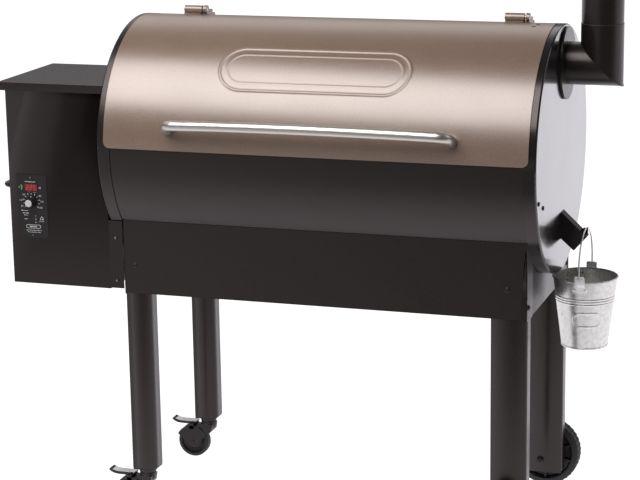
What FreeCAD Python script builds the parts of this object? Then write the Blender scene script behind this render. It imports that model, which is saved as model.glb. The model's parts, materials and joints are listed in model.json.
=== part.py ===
"""Pellet smoker grill: a parametric FreeCAD document, in millimetres.

The model is drawn about the barrel: its origin is on the barrel's axis, midway between the ends, with +X
towards the chimney, +Y to the back and +Z up.  Every sub-part is then moved by the sheet's shift_x, shift_y
and shift_z, which put the origin on the floor under the middle of the whole grill.
"""
import FreeCAD, Part
import math
import os
import types

import Sketcher

Vector = FreeCAD.Vector
Rotation = FreeCAD.Rotation

DIMENSIONS = {
    # Whole grill
    "shift_x": 67.75,
    "shift_y": 24.52,
    "shift_z": 817,
    # Barrel, its two end caps and the mouth that the lid closes
    "barrel_length": 935,
    "barrel_radius": 256.8,
    "barrel_wall": 1.6,
    "barrel_end_gap": 1,
    "mouth_start_angle": 6,
    "mouth_end_angle": 86,
    "cap_wall": 1.5,
    "cap_lip": 27.5,
    "cap_play": 0.3,
    "cap_edge_radius": 3.5,
    # Lid
    "lid_half_length": 452,
    "lid_inner_radius": 259,
    "lid_wall": 1.4,
    "lid_start_angle": 2,
    "lid_end_angle": 90,
    "lid_corner_radius": 14,
    "handle_radius": 11,
    "handle_wall": 1.5,
    "handle_left": -305,
    "handle_right": 297,
    "handle_end_reach": 36,
    "handle_peak_reach": 58,
    "handle_bend": 26,
    "handle_bow_radius": 3500,
    "handle_foot_angle": 11.6,
    "handle_tilt": 24,
    # Lid hinges
    "lid_axis_y": 12,
    "lid_axis_z": 269.5,
    "lid_knuckle_radius": 8.5,
    "lid_knuckle_length": 40,
    "lid_pin_radius": 3.5,
    "running_play": 0.05,
    "left_hinge_x": -367.5,
    "right_hinge_x": 342.5,
    "hinge_gap": 4,
    "hinge_ear": 7,
    # Skirt
    "skirt_half_length": 440,
    "skirt_wall": 1.5,
    "skirt_front_y": -204.5,
    "skirt_back_y": 213.5,
    "skirt_bottom_z": -316,
    "skirt_side_bottom_z": -319,
    "skirt_return": 50,
    "skirt_play": 0.5,
    "skirt_top_z": -120,
    # Legs
    "leg_depth": 47,
    "leg_wall": 1.8,
    "leg_top_z": -214,
    "short_leg_width": 50,
    "short_leg_bottom_z": -714,
    "long_leg_width": 72,
    "long_leg_bottom_z": -769,
    # Bolts and screws
    "bolt_radius": 3.1,
    "bolt_head_radius": 6.5,
    "bolt_head_height": 3.2,
    "bolt_length": 10,
    "bolt_left_x": -415,
    "bolt_right_x": 399,
    "bolt_face_z": -255,
    "bolt_side_y": 14.5,
    "bolt_side_z": -292,
    "screw_radius": 2,
    "screw_head_radius": 5,
    "screw_head_height": 3,
    "hole_play": 0.2,
    "cap_screw_high_y": -232,
    "cap_screw_high_z": -68,
    "cap_screw_low_y": -190,
    "cap_screw_low_z": -85,
    "hopper_screw_y": -150,
    "hopper_screw_z": -60,
    "flange_screw_x": -456,
    "flange_screw_high_z": -196,
    "flange_screw_low_z": -290,
    "panel_screw_inset": 6,
    # Road wheels and their axle bolts
    "wheel_radius": 76,
    "wheel_width": 38,
    "wheel_hub_radius": 16,
    "wheel_tread": 14,
    "wheel_x": 392,
    "axle_radius": 6,
    "axle_head_radius": 10,
    "axle_head_height": 6,
    "axle_washer": 3.5,
    "axle_nut_height": 7,
    "wheel_side_play": 0.5,
    # Casters
    "caster_wheel_radius": 37.5,
    "caster_wheel_width": 22,
    "caster_hub_radius": 9,
    "caster_tread": 8,
    "caster_trail": 37,
    "caster_stem_radius": 5.5,
    "caster_collar_radius": 19.5,
    "caster_collar_height": 12,
    "caster_cheek": 2,
    "caster_head_radius": 18,
    "caster_hood_reach": 62,
    "caster_hood_back": 16,
    "caster_hood_wall": 1.5,
    "caster_half_width": 15,
    "caster_axle_radius": 4,
    "pedal_pin_radius": 2,
    "pedal_pivot_reach": 38,
    "pedal_pivot_z": -732,
    "pedal_reach": 88,
    "pedal_half_width": 12.5,
    "pedal_knuckle_radius": 3.8,
    # Grates, tray, baffle and fire pot
    "rail_top_z": -20,
    "grate_length": 288,
    "grate_pitch": 290,
    "grate_half_depth": 247,
    "grate_rod_radius": 2.5,
    "grate_bar_height": 9,
    "tray_left": -420,
    "tray_right": 405,
    "tray_half_depth": 212,
    "tray_lip": 14,
    "tray_slope": 1.5,
    "tray_z": -80,
    "tray_wall": 1.5,
    "baffle_half": 120,
    "baffle_wall": 2,
    "baffle_depth": 95,
    "baffle_z": -128,
    "trough_left": 412,
    "trough_right": 462,
    "trough_half_length": 150,
    "trough_top_z": -100,
    "trough_floor_z": -196,
    "pot_radius": 52,
    "pot_wall": 2,
    "pot_vent_radius": 3,
    "igniter_z": -241,
    "igniter_radius": 5,
    "probe_y": -140,
    "probe_z": 40,
    "probe_radius": 3,
    "probe_length": 62,
    "pot_bottom_z": -248,
    "pot_top_z": -165,
    # Auger and blower
    "auger_z": -205,
    "auger_tube_radius": 25.4,
    "auger_left": -668,
    "auger_right": -49,
    "auger_shaft_radius": 8,
    "auger_flight_radius": 20,
    "auger_pitch": 40,
    "auger_flight_wall": 3,
    "auger_tube_wall": 2,
    "gearbox_length": 24.5,
    "gearbox_half_depth": 34,
    "gearbox_half_height": 36,
    "blower_y": -90,
    "blower_z": -250,
    "blower_radius": 40,
    "blower_wall": 2,
    "blower_eye_radius": 18,
    "blower_motor_radius": 24,
    "blower_motor_length": 22,
    "impeller_radius": 33,
    "impeller_hub_radius": 9,
    "impeller_shaft_radius": 3,
    "blower_left": -545,
    "blower_right": -503,
    "air_front": -8,
    "air_back": 16,
    "air_low": 20,
    "air_high": 42,
    "air_wall": 1.5,
    # Hopper
    "hopper_left": -701,
    "hopper_right": -471.5,
    "hopper_front": -206,
    "hopper_back": 47,
    "hopper_bottom": -309,
    "hopper_top": 131.5,
    "hopper_wall": 1.2,
    "hopper_flange_right": -443,
    "hopper_flange_top": -185,
    "hopper_flange_gap": 2,
    "hopper_ear_wall": 3,
    "hopper_ear_left": -690,
    "hopper_ear_right": -493.5,
    "panel_window_side": 6,
    "panel_window_end": 12,
    "inlet_half_width": 15,
    "inlet_half_height": 11,
    "hopper_lid_left": -712,
    "hopper_lid_right": -469.3,
    "hopper_lid_front": -215,
    "hopper_lid_top": 134,
    "hopper_lid_wall": 1.5,
    "hopper_lid_skirt": 19,
    "hopper_axis_y": 52,
    "hopper_axis_z": 126,
    "hopper_rod_radius": 3,
    "hopper_knuckle_radius": 5,
    "funnel_top_z": -40,
    "funnel_bottom_z": -178,
    "funnel_wall": 2,
    "throat_left": -652,
    "throat_right": -568,
    "throat_half": 20,
    "guard_z": 62,
    "guard_rail": 5,
    "guard_rod_radius": 2.2,
    "grip_rod_radius": 5.5,
    "grip_reach": 31,
    "grip_front_y": -170,
    "grip_back_y": -40,
    "grip_z": -101,
    # Control panel and dial
    "panel_left": -684,
    "panel_right": -613,
    "panel_bottom": -207,
    "panel_top": -68,
    "panel_proud": 1.5,
    "display_x": -650,
    "display_z": -96,
    "display_width": 29,
    "display_height": 15,
    "dial_z": -128,
    "dial_reach": 17,
    "dial_shaft_radius": 3,
    "dial_face_radius": 9,
    "dial_skirt_radius": 12.5,
    "dial_cap_radius": 7.75,
    "dial_cap_height": 2,
    "lamp_offset": 27,
    "lamp_radius": 2.5,
    "case_depth": 36,
    "inlet_x": -590,
    "inlet_z": -250,
    # Chimney
    "duct_y": 24,
    "duct_z": 176,
    "duct_radius": 44,
    "duct_wall": 1.5,
    "gasket_radius": 73,
    "gasket_thickness": 2,
    "flange_radius": 75,
    "flange_thickness": 3.5,
    "stack_x": 542,
    "elbow_top_z": 260,
    "pipe_radius": 43.3,
    "pipe_top_z": 395,
    "cap_top_z": 428,
    "cap_radius": 60,
    "cap_stem_radius": 4,
    "cap_nut_radius": 8,
    "spider_depth": 50,
    "spider_half_width": 6,
    # Grease spout, bail and bucket
    "spout_front_y": -10,
    "spout_back_y": 17,
    "spout_wall": 1.5,
    "drain_top_z": -134,
    "drain_bottom_z": -185,
    "hook_x": 518,
    "hook_z": -167,
    "hook_prong": 2.2,
    "bail_wire_radius": 1.6,
    "bail_half_width": 73.4,
    "lug_z": -260,
    "pail_rim_z": -266,
    "pail_rim_radius": 69.2,
    "pail_height": 150,
    "pail_bottom_radius": 48.3,
    "pail_wall": 1,
    "lug_half_width": 10.5,
    "lug_wing": 16,
    "lug_rivet_spacing": 10,
    "lug_rivet_radius": 2.5,
}


class Size:
    """A number together with the sheet expression that it comes from."""

    def __init__(self, text, number):
        self.text = text
        self.number = number

    def joined(self, sign, other, number):
        return Size(f"({self.text} {sign} {other.text})", number)

    def __add__(self, other):
        other = as_size(other)
        return self.joined("+", other, self.number + other.number)

    def __radd__(self, other):
        return as_size(other) + self

    def __sub__(self, other):
        other = as_size(other)
        return self.joined("-", other, self.number - other.number)

    def __rsub__(self, other):
        return as_size(other) - self

    def __mul__(self, other):
        other = as_size(other)
        return self.joined("*", other, self.number * other.number)

    def __rmul__(self, other):
        return as_size(other) * self

    def __truediv__(self, other):
        other = as_size(other)
        return self.joined("/", other, self.number / other.number)

    def __neg__(self):
        return as_size(0) - self


def as_size(value):
    """A Size, from a Size or from a plain number."""
    if isinstance(value, Size):
        return value
    return Size(f"({value})" if value < 0 else f"{value}", value)


def root(size):
    """The square root of a Size."""
    return Size(f"sqrt({size.text})", math.sqrt(size.number))


def make_sheet(doc):
    """Write the driving dimensions to a sheet and return them as Sizes."""
    sheet = doc.addObject("Spreadsheet::Sheet", "Dims")
    for row, (alias, number) in enumerate(DIMENSIONS.items(), start=1):
        sheet.set(f"A{row}", alias)
        sheet.set(f"B{row}", str(number))
        sheet.setAlias(f"B{row}", alias)
    doc.recompute()
    sizes = {alias: Size(f"Dims.{alias}", number) for alias, number in DIMENSIONS.items()}
    return types.SimpleNamespace(**sizes)


doc = FreeCAD.newDocument("PelletGrill")
d = make_sheet(doc)
offsets = {}
nodes = []

NO_TURN = Rotation()
ALONG = {
    "X": Rotation(Vector(0, 1, 0), 90),
    "Y": Rotation(Vector(1, 0, 0), -90),
    "Z": NO_TURN,
}
# A drum's own angle runs from the front (-Y) up to the top (+Z), and its length runs towards -X.
DRUM = Rotation(Vector(0, -1, 0), Vector(0, 0, 1), Vector(-1, 0, 0), "XYZ")


# ---------------------------------------------------------------- drawing helpers

def bind(obj, prop, size):
    """Bind one property to an expression of the sheet's cells."""
    obj.setExpression(prop, as_size(size).text)


def place(obj, x, y, z, turn=NO_TURN):
    """Put an object at a bound position, with a fixed turn."""
    x, y, z = as_size(x), as_size(y), as_size(z)
    obj.Placement = FreeCAD.Placement(Vector(x.number, y.number, z.number), turn)
    bind(obj, "Placement.Base.x", x)
    bind(obj, "Placement.Base.y", y)
    bind(obj, "Placement.Base.z", z)
    offsets[obj.Name] = (x, y, z)
    return obj


def block(x_low, x_high, y_low, y_high, z_low, z_high):
    """A box between six planes."""
    box = doc.addObject("Part::Box", "Block")
    bind(box, "Length", as_size(x_high) - x_low)
    bind(box, "Width", as_size(y_high) - y_low)
    bind(box, "Height", as_size(z_high) - z_low)
    return place(box, x_low, y_low, z_low)


def along(axis, run, side, rise):
    """A point from its place along an axis and its other two coordinates, in X, Y, Z order."""
    return {"X": (run, side, rise), "Y": (side, run, rise), "Z": (side, rise, run)}[axis]


def rod(axis, low, high, side, rise, radius):
    """A round bar along an axis; side and rise are its other two coordinates in X, Y, Z order."""
    bar = doc.addObject("Part::Cylinder", "Rod")
    bind(bar, "Radius", radius)
    bind(bar, "Height", as_size(high) - low)
    return place(bar, *along(axis, low, side, rise), ALONG[axis])


def cone(axis, low, high, side, rise, low_radius, high_radius):
    """A tapered round bar along an axis."""
    bar = doc.addObject("Part::Cone", "Taper")
    bind(bar, "Radius1", low_radius)
    bind(bar, "Radius2", high_radius)
    bind(bar, "Height", as_size(high) - low)
    return place(bar, *along(axis, low, side, rise), ALONG[axis])


def drum_sector(radius, half_length, start_angle, sweep):
    """A solid sector of the barrel's cylinder."""
    bar = doc.addObject("Part::Cylinder", "Sector")
    bind(bar, "Radius", radius)
    bind(bar, "Height", 2 * half_length)
    bind(bar, "Angle", sweep)
    return place(bar, half_length, 0, 0, DRUM * Rotation(Vector(0, 0, 1), start_angle.number))


def cut(base, *tools):
    """The base with the tools taken away."""
    result = doc.addObject("Part::Cut", "Cut")
    result.Base = base
    result.Tool = tools[0] if len(tools) == 1 else fuse(*tools)
    return result


def fuse(*shapes):
    """Several shapes joined into one."""
    result = doc.addObject("Part::MultiFuse", "Fuse")
    result.Shapes = list(shapes)
    return result


def common(base, tool):
    """What two shapes share."""
    result = doc.addObject("Part::Common", "Common")
    result.Base = base
    result.Tool = tool
    return result


def group(*shapes):
    """Separate solids kept side by side."""
    result = doc.addObject("Part::Compound", "Group")
    result.Links = list(shapes)
    return result


def rounded(base, radius, wanted):
    """The base with a fillet on every edge for which wanted(edge) is true."""
    doc.recompute()
    result = doc.addObject("Part::Fillet", "Fillet")
    result.Base = base
    chosen = [number for number, edge in enumerate(base.Shape.Edges, start=1) if wanted(edge)]
    if not chosen:
        raise RuntimeError(f"no edge to round on {base.Name}")
    result.Edges = [(number, radius.number, radius.number) for number in chosen]
    return result


def origin_plane(body, role):
    """One of a body's own origin planes."""
    return next(item for item in body.Origin.OriginFeatures if item.Role == role)


def outline(body, role, corners):
    """A closed outline of straight lines whose corners are bound to the sheet."""
    sketch = body.newObject("Sketcher::SketchObject", "Outline")
    sketch.AttachmentSupport = (origin_plane(body, role), [""])
    sketch.MapMode = "FlatFace"
    corners = [(as_size(across), as_size(up)) for across, up in corners]
    points = [Vector(across.number, up.number, 0) for across, up in corners]
    count = len(points)
    for index in range(count):
        sketch.addGeometry(Part.LineSegment(points[index], points[(index + 1) % count]), False)
    for index in range(count):
        sketch.addConstraint(Sketcher.Constraint("Coincident", index, 2, (index + 1) % count, 1))
    for index, (across, up) in enumerate(corners):
        for kind, size in (("DistanceX", across), ("DistanceY", up)):
            if abs(size.number) < 1e-9:
                constraint = "PointOnObject", index, 1, -2 if kind == "DistanceX" else -1
                sketch.addConstraint(Sketcher.Constraint(*constraint))
                continue
            number = sketch.addConstraint(Sketcher.Constraint(kind, -1, 1, index, 1, size.number))
            sketch.setExpression(f"Constraints[{number}]", size.text)
    return sketch


def profile_xz(corners, y_low, y_high):
    """A prism along Y from an outline of (x, z) corners."""
    body = doc.addObject("PartDesign::Body", "Profile")
    sketch = outline(body, "XZ_Plane", corners)
    pad = body.newObject("PartDesign::Pad", "Pad")
    pad.Profile = sketch
    bind(pad, "Length", as_size(y_high) - y_low)
    return place(body, 0, y_high, 0)


def turned(axis, corners, centre):
    """A turned piece from an outline of (radius, run) corners, about an axis through the centre."""
    body = doc.addObject("PartDesign::Body", "Turned")
    sketch = outline(body, "XZ_Plane", corners)
    revolution = body.newObject("PartDesign::Revolution", "Revolution")
    revolution.Profile = sketch
    revolution.ReferenceAxis = (sketch, ["V_Axis"])
    revolution.Angle = 360
    return place(body, *centre, ALONG[axis])


def bent_rod(points, bends, radius):
    """A round bar along straight runs joined by tangent arcs; each inner point has its bend radius."""
    edges = []
    start = points[0]
    for before, corner, after, bend in zip(points, points[1:], points[2:], bends):
        inward = (before - corner).normalize()
        outward = (after - corner).normalize()
        half = inward.getAngle(outward) / 2
        reach = bend / math.tan(half)
        middle = (inward + outward).normalize()
        centre = corner + middle * (bend / math.sin(half))
        first, last = corner + inward * reach, corner + outward * reach
        edges.append(Part.LineSegment(start, first).toShape())
        edges.append(Part.Arc(first, centre - middle * bend, last).toShape())
        start = last
    edges.append(Part.LineSegment(start, points[-1]).toShape())
    path = Part.Wire(edges)
    section = Part.Wire([Part.Circle(points[0], points[1] - points[0], radius).toShape()])
    bar = doc.addObject("Part::Feature", "BentRod")
    bar.Shape = path.makePipeShell([section], True, False)
    return bar


def publish(obj, label):
    """Name a finished sub-part and move it into the grill's own frame."""
    obj.Label = label
    x, y, z = offsets.get(obj.Name, (as_size(0), as_size(0), as_size(0)))
    place(obj, x + d.shift_x, y + d.shift_y, z + d.shift_z, obj.Placement.Rotation)
    nodes.append(obj)


# ---------------------------------------------------------------- fasteners and their holes

def fastener(axis, face, sign, side, rise, radius, head_radius, head_height, length):
    """A headed screw whose head sits on a face and whose shank points along sign * axis."""
    face = as_size(face)
    if sign > 0:
        head = rod(axis, face - head_height, face, side, rise, head_radius)
        shank = rod(axis, face, face + length, side, rise, radius)
    else:
        head = rod(axis, face, face + head_height, side, rise, head_radius)
        shank = rod(axis, face - length, face, side, rise, radius)
    return fuse(head, shank)


def hole(axis, face, side, rise, radius, depth=20):
    """The clearance drill of a fastener, through what lies within the depth of a face."""
    return rod(axis, as_size(face) - depth, as_size(face) + depth, side, rise, radius + d.hole_play)


def frame_bolt_places():
    """Axis, face, direction of the shank and the other two coordinates of each frame bolt."""
    side_x = d.skirt_half_length
    front_y = d.skirt_front_y + d.bolt_side_y
    back_y = d.skirt_back_y - d.bolt_side_y - d.skirt_wall
    for x in (d.bolt_left_x, d.bolt_right_x):
        yield "Y", d.skirt_front_y, 1, x, d.bolt_face_z
        yield "Y", d.skirt_back_y, -1, x, d.bolt_face_z
    for y in (front_y, back_y):
        face = side_x if y is front_y else side_x - d.skirt_wall
        yield "X", face, -1, y, d.bolt_side_z
        yield "X", -face, 1, y, d.bolt_side_z


def panel_screw_places():
    """The same for the small screws of the right cap, the hopper flange and the control panel."""
    cap_face = d.barrel_length / 2
    yield "X", cap_face, -1, d.cap_screw_high_y, d.cap_screw_high_z
    yield "X", cap_face, -1, d.cap_screw_low_y, d.cap_screw_low_z
    yield "X", -cap_face + d.cap_wall, -1, d.hopper_screw_y, d.hopper_screw_z
    yield "Y", d.hopper_front, 1, d.flange_screw_x, d.flange_screw_high_z
    yield "Y", d.hopper_front, 1, d.flange_screw_x, d.flange_screw_low_z
    panel_face = d.hopper_front - d.panel_proud
    yield "Y", panel_face, 1, d.display_x, d.panel_top - d.panel_screw_inset
    yield "Y", panel_face, 1, d.display_x, d.panel_bottom + d.panel_screw_inset


def frame_holes(*axes):
    return [hole(axis, face, side, rise, d.bolt_radius)
            for axis, face, sign, side, rise in frame_bolt_places() if axis in axes]


def build_fasteners():
    bolts = [fastener(*spot, d.bolt_radius, d.bolt_head_radius, d.bolt_head_height, d.bolt_length)
             for spot in frame_bolt_places()]
    publish(group(*bolts), "frame_bolts")
    screws = [fastener(*spot, d.screw_radius, d.screw_head_radius, d.screw_head_height, d.bolt_length)
              for spot in panel_screw_places()]
    publish(group(*screws), "panel_screws")


# ---------------------------------------------------------------- barrel and frame

def build_barrel():
    half = d.barrel_length / 2 - d.cap_wall - d.barrel_end_gap
    start = d.mouth_end_angle
    sweep = 360 - (d.mouth_end_angle - d.mouth_start_angle)
    outer = drum_sector(d.barrel_radius, half, start, sweep)
    inner = rod("X", -half - 5, half + 5, 0, 0, d.barrel_radius - d.barrel_wall)
    publish(cut(outer, inner), "barrel_shell")


def air_passage(x_low, x_high, margin):
    """The blower's air duct between two places, larger than its outside by a margin."""
    y, z = d.blower_y, d.blower_z
    return block(x_low, x_high, y + d.air_front - margin, y + d.air_back + margin,
                 z + d.air_low - margin, z + d.air_high + margin)


def end_cap(side):
    """One end cap: a disc whose lip wraps the barrel's end; side is -1 on the left and 1 on the right."""
    face = d.barrel_length / 2
    outer_radius = d.barrel_radius + d.cap_play + d.cap_wall
    lip_start = face - d.cap_lip
    low, high = (-face, -lip_start) if side < 0 else (lip_start, face)
    drum = rod("X", low, high, 0, 0, outer_radius)
    edge = rounded(drum, d.cap_edge_radius, lambda e: abs(e.CenterOfMass.x - side * face.number) < 0.1)
    low, high = (-face + d.cap_wall, -lip_start + 5) if side < 0 else (lip_start - 5, face - d.cap_wall)
    return edge, rod("X", low, high, 0, 0, d.barrel_radius + d.cap_play)


def build_end_caps():
    face = d.barrel_length / 2
    disc, hollow = end_cap(-1)
    auger = rod("X", -face - 5, -face + 5, 0, d.auger_z, d.auger_tube_radius + d.hole_play)
    air = air_passage(-face - 5, -face + 5, 1)
    probe = hole("X", -face, d.hopper_screw_y, d.hopper_screw_z, d.screw_radius)
    publish(cut(disc, hollow, auger, air, probe), "left_end_cap")
    disc, hollow = end_cap(1)
    duct = rod("X", face - 5, face + 5, d.duct_y, d.duct_z, d.duct_radius - d.duct_wall)
    drain = block(face - 5, face + 5, d.spout_front_y + 2, d.spout_back_y - 2,
                  d.drain_bottom_z, d.drain_top_z)
    screws = [hole("X", face, side, rise, d.screw_radius)
              for axis, spot, sign, side, rise in panel_screw_places() if axis == "X" and spot.number > 0]
    publish(cut(disc, hollow, duct, drain, *screws), "right_end_cap")


def barrel_clearance():
    """The drum that the skirt's upper edges are cut to."""
    return rod("X", -d.barrel_length, d.barrel_length, 0, 0, d.barrel_radius + d.skirt_play)


def build_skirt():
    outside, wall = d.skirt_half_length, d.skirt_wall
    front, back = d.skirt_front_y, d.skirt_back_y
    bottom, side_bottom = d.skirt_bottom_z, d.skirt_side_bottom_z
    top = d.skirt_top_z
    face = block(-outside, outside, front, front + wall, bottom, top)
    returns = [block(low, low + wall, front + wall, front + wall + d.skirt_return, side_bottom, top)
               for low in (-outside, outside - wall)]
    publish(cut(fuse(face, *returns), barrel_clearance(), *frame_holes("X", "Y")), "skirt_front")
    publish(cut(block(-outside, outside, back - wall, back, side_bottom, top), barrel_clearance(),
                *frame_holes("Y")), "skirt_back")
    for label, low in (("skirt_left", -outside + wall), ("skirt_right", outside - 2 * wall)):
        side = block(low, low + wall, front + wall, back - wall, side_bottom, top)
        publish(cut(side, barrel_clearance(), *frame_holes("X")), label)


def leg_box(x_low, x_high, y_low, y_high, bottom):
    """A rectangular leg tube."""
    wall = d.leg_wall
    outer = block(x_low, x_high, y_low, y_high, bottom, d.leg_top_z)
    inner = block(x_low + wall, x_high - wall, y_low + wall, y_high - wall, bottom - 5, d.leg_top_z + 5)
    return outer, inner


def leg_span(back):
    """The front and back faces of a front or a rear leg."""
    if back:
        high = d.skirt_back_y - d.skirt_wall
        return high - d.leg_depth, high
    low = d.skirt_front_y + d.skirt_wall
    return low, low + d.leg_depth


def build_legs():
    outside = d.skirt_half_length - 2 * d.skirt_wall
    for place_name, back in (("front", False), ("rear", True)):
        low, high = leg_span(back)
        outer, inner = leg_box(-outside, -outside + d.short_leg_width, low, high, d.short_leg_bottom_z)
        publish(cut(outer, inner, *frame_holes("X", "Y")), f"leg_{place_name}_left")
        outer, inner = leg_box(outside - d.long_leg_width, outside, low, high, d.long_leg_bottom_z)
        axle = rod("Y", low - 5, high + 5, d.wheel_x, wheel_z(), d.axle_radius + d.hole_play)
        publish(cut(outer, inner, axle, *frame_holes("X", "Y")), f"leg_{place_name}_right")


# ---------------------------------------------------------------- road wheels

def wheel_z():
    return d.wheel_radius - d.shift_z


def wheel_side(back):
    """The leg's outer face and the direction from it to the road wheel."""
    low, high = leg_span(back)
    return (high, 1) if back else (low, -1)


def build_axles():
    bolts = []
    for back in (False, True):
        face, sign = wheel_side(back)
        inner_face = face - sign * d.leg_depth
        wheel_start = face + sign * d.axle_washer
        end = wheel_start + sign * (d.wheel_width + 2 * d.wheel_side_play)
        tip = end + sign * d.axle_nut_height
        head = inner_face - sign * d.axle_head_height
        spans = ((head, inner_face, d.axle_head_radius), (inner_face, tip, d.axle_radius),
                 (face, wheel_start, 2 * d.axle_radius), (end, tip, d.axle_head_radius))
        pieces = []
        for first, last, radius in spans:
            low, high = (first, last) if sign > 0 else (last, first)
            pieces.append(rod("Y", low, high, d.wheel_x, wheel_z(), radius))
        bolts.append(fuse(*pieces))
    publish(group(*bolts), "wheel_axles")


def build_road_wheels():
    half = d.wheel_width / 2
    radius = d.wheel_radius
    bore = d.axle_radius + d.running_play
    for label, back in (("road_wheel_front", False), ("road_wheel_rear", True)):
        face, sign = wheel_side(back)
        middle = face + sign * (d.axle_washer + d.wheel_side_play + half)
        hub, tread, shoulder = d.wheel_hub_radius, radius - d.wheel_tread, 5
        corners = [(bore, -half), (hub, -half), (hub, shoulder - half), (tread, 11 - half), (tread, -half),
                   (radius - 4, -half), (radius, shoulder - half), (radius, half - shoulder),
                   (radius - 4, half), (tread, half), (tread, half - 11), (hub, half - shoulder),
                   (hub, half), (bore, half)]
        publish(turned("Y", corners, (d.wheel_x, middle, wheel_z())), label)


# ---------------------------------------------------------------- casters

def caster_stem_x():
    return -d.skirt_half_length + 2 * d.skirt_wall + d.short_leg_width / 2


def caster_y(back):
    low, high = leg_span(back)
    return (low + high) / 2


def caster_wheel_z():
    return d.caster_wheel_radius - d.shift_z


def build_caster_sockets():
    sockets = []
    x = caster_stem_x()
    bottom = d.short_leg_bottom_z
    half = d.short_leg_width / 2 - d.leg_wall - 0.2
    depth = d.leg_depth / 2 - d.leg_wall - 0.2
    for back in (False, True):
        y = caster_y(back)
        plug = block(x - half, x + half, y - depth, y + depth, bottom, bottom + 26)
        collar = rod("Z", bottom - d.caster_collar_height, bottom + 1, x, y, d.caster_collar_radius)
        bore = rod("Z", bottom - 20, bottom + 20, x, y, d.caster_stem_radius + d.running_play)
        sockets.append(cut(fuse(plug, collar), bore))
    publish(group(*sockets), "caster_sockets")


def build_caster(place_name, back):
    """The fork, wheel and brake pedal under one short leg."""
    x, y = caster_stem_x(), caster_y(back)
    wheel_x, centre_z = x - d.caster_trail, caster_wheel_z()
    half, cheek = d.caster_half_width, d.caster_cheek
    head_top = d.short_leg_bottom_z - d.caster_collar_height - 0.5
    roof = centre_z + d.caster_wheel_radius + 1
    stem = rod("Z", roof + 1, d.short_leg_bottom_z + 18, x, y, d.caster_stem_radius)
    head = rod("Z", roof + 1, head_top, x, y, d.caster_head_radius)
    left, right = x - d.caster_hood_reach, x + d.caster_hood_back
    top = block(left, right, y - half, y + half, roof, roof + d.caster_hood_wall)
    cheek_line = [(right, roof + 1), (left, roof + 1), (left, roof - 8), (wheel_x - 11, centre_z - 8),
                  (wheel_x + 11, centre_z - 8), (x + 2, roof - 16)]
    cheeks = [profile_xz(cheek_line, low, low + cheek) for low in (y - half, y + half - cheek)]
    axle = rod("Y", y - half, y + half, wheel_x, centre_z, d.caster_axle_radius)
    pin_x, pin_z = x - d.pedal_pivot_reach, d.pedal_pivot_z
    ear_line = [(pin_x - 5, roof), (pin_x + 5, roof), (pin_x + 4, pin_z + 4), (pin_x - 4, pin_z + 4)]
    ears = [profile_xz(ear_line, low, low + cheek) for low in (y - half, y + half - cheek)]
    pin = rod("Y", y - half, y + half, pin_x, pin_z, d.pedal_pin_radius)
    publish(fuse(stem, head, top, *cheeks, axle, *ears, pin), f"caster_fork_{place_name}")

    rim, edge = d.caster_wheel_radius, d.caster_wheel_width / 2
    bore = d.caster_axle_radius + d.running_play
    hub, tread = d.caster_hub_radius, rim - d.caster_tread
    wheel_line = [(bore, -edge), (hub, -edge), (hub, 3 - edge), (tread, 3 - edge), (tread, -edge),
                  (rim - 2, -edge), (rim, 3 - edge), (rim, edge - 3), (rim - 2, edge), (tread, edge),
                  (tread, edge - 3), (hub, edge - 3), (hub, edge), (bore, edge)]
    publish(turned("Y", wheel_line, (wheel_x, y, centre_z)), f"caster_wheel_{place_name}")

    reach = x - d.pedal_reach
    pedal_line = [(pin_x + 9, pin_z - 1), (pin_x + 9, pin_z + 1.5), (reach + 14, pin_z + 1.5),
                  (reach, pin_z + 7), (reach - 1, pin_z + 5), (reach + 13, pin_z - 1)]
    wide = d.pedal_half_width
    knuckle = rod("Y", y - wide, y + wide, pin_x, pin_z, d.pedal_knuckle_radius)
    plate = profile_xz(pedal_line, y - wide, y + wide)
    bore_rod = rod("Y", y - 20, y + 20, pin_x, pin_z, d.pedal_pin_radius + d.running_play)
    publish(cut(fuse(knuckle, plate), bore_rod), f"caster_brake_{place_name}")


# ---------------------------------------------------------------- lid and its hinges

def lid_outer_radius():
    return d.lid_inner_radius + d.lid_wall


def build_lid_shell():
    half = d.lid_half_length
    sweep = d.lid_end_angle - d.lid_start_angle
    outer = drum_sector(lid_outer_radius(), half, d.lid_start_angle, sweep)
    inner = rod("X", -half - 5, half + 5, 0, 0, d.lid_inner_radius)
    shell = cut(outer, inner)
    doc.recompute()

    def at_lower_corner(edge):
        middle = edge.CenterOfMass
        at_end = abs(abs(middle.x) - half.number) < 0.1
        return edge.Length < 2 * d.lid_wall.number and middle.z < 50 and at_end

    publish(rounded(shell, d.lid_corner_radius, at_lower_corner), "lid_shell")


def handle_path(start_reach):
    """The handle's corner points: its feet on the lid, two bends and the peak of the bow."""
    foot = math.radians(d.handle_foot_angle.number)
    tilt = math.radians(d.handle_tilt.number)
    radius = lid_outer_radius().number
    base_y, base_z = -radius * math.cos(foot), radius * math.sin(foot)

    def point(x, reach):
        return Vector(x, base_y - reach * math.cos(tilt), base_z + reach * math.sin(tilt))

    left, right = d.handle_left.number, d.handle_right.number
    end, peak = d.handle_end_reach.number, d.handle_peak_reach.number
    return [point(left, start_reach), point(left, end), point((left + right) / 2, peak), point(right, end),
            point(right, start_reach)]


def build_lid_handle():
    bend, bow = d.handle_bend.number, d.handle_bow_radius.number
    radius, wall = d.handle_radius.number, d.handle_wall.number
    skin = bent_rod(handle_path(-6), [bend, bow, bend], radius)
    core = bent_rod(handle_path(-8), [bend, bow, bend], radius - wall)
    seat = rod("X", -d.lid_half_length, d.lid_half_length, 0, 0, lid_outer_radius())
    publish(cut(skin, core, seat), "lid_handle")


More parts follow.
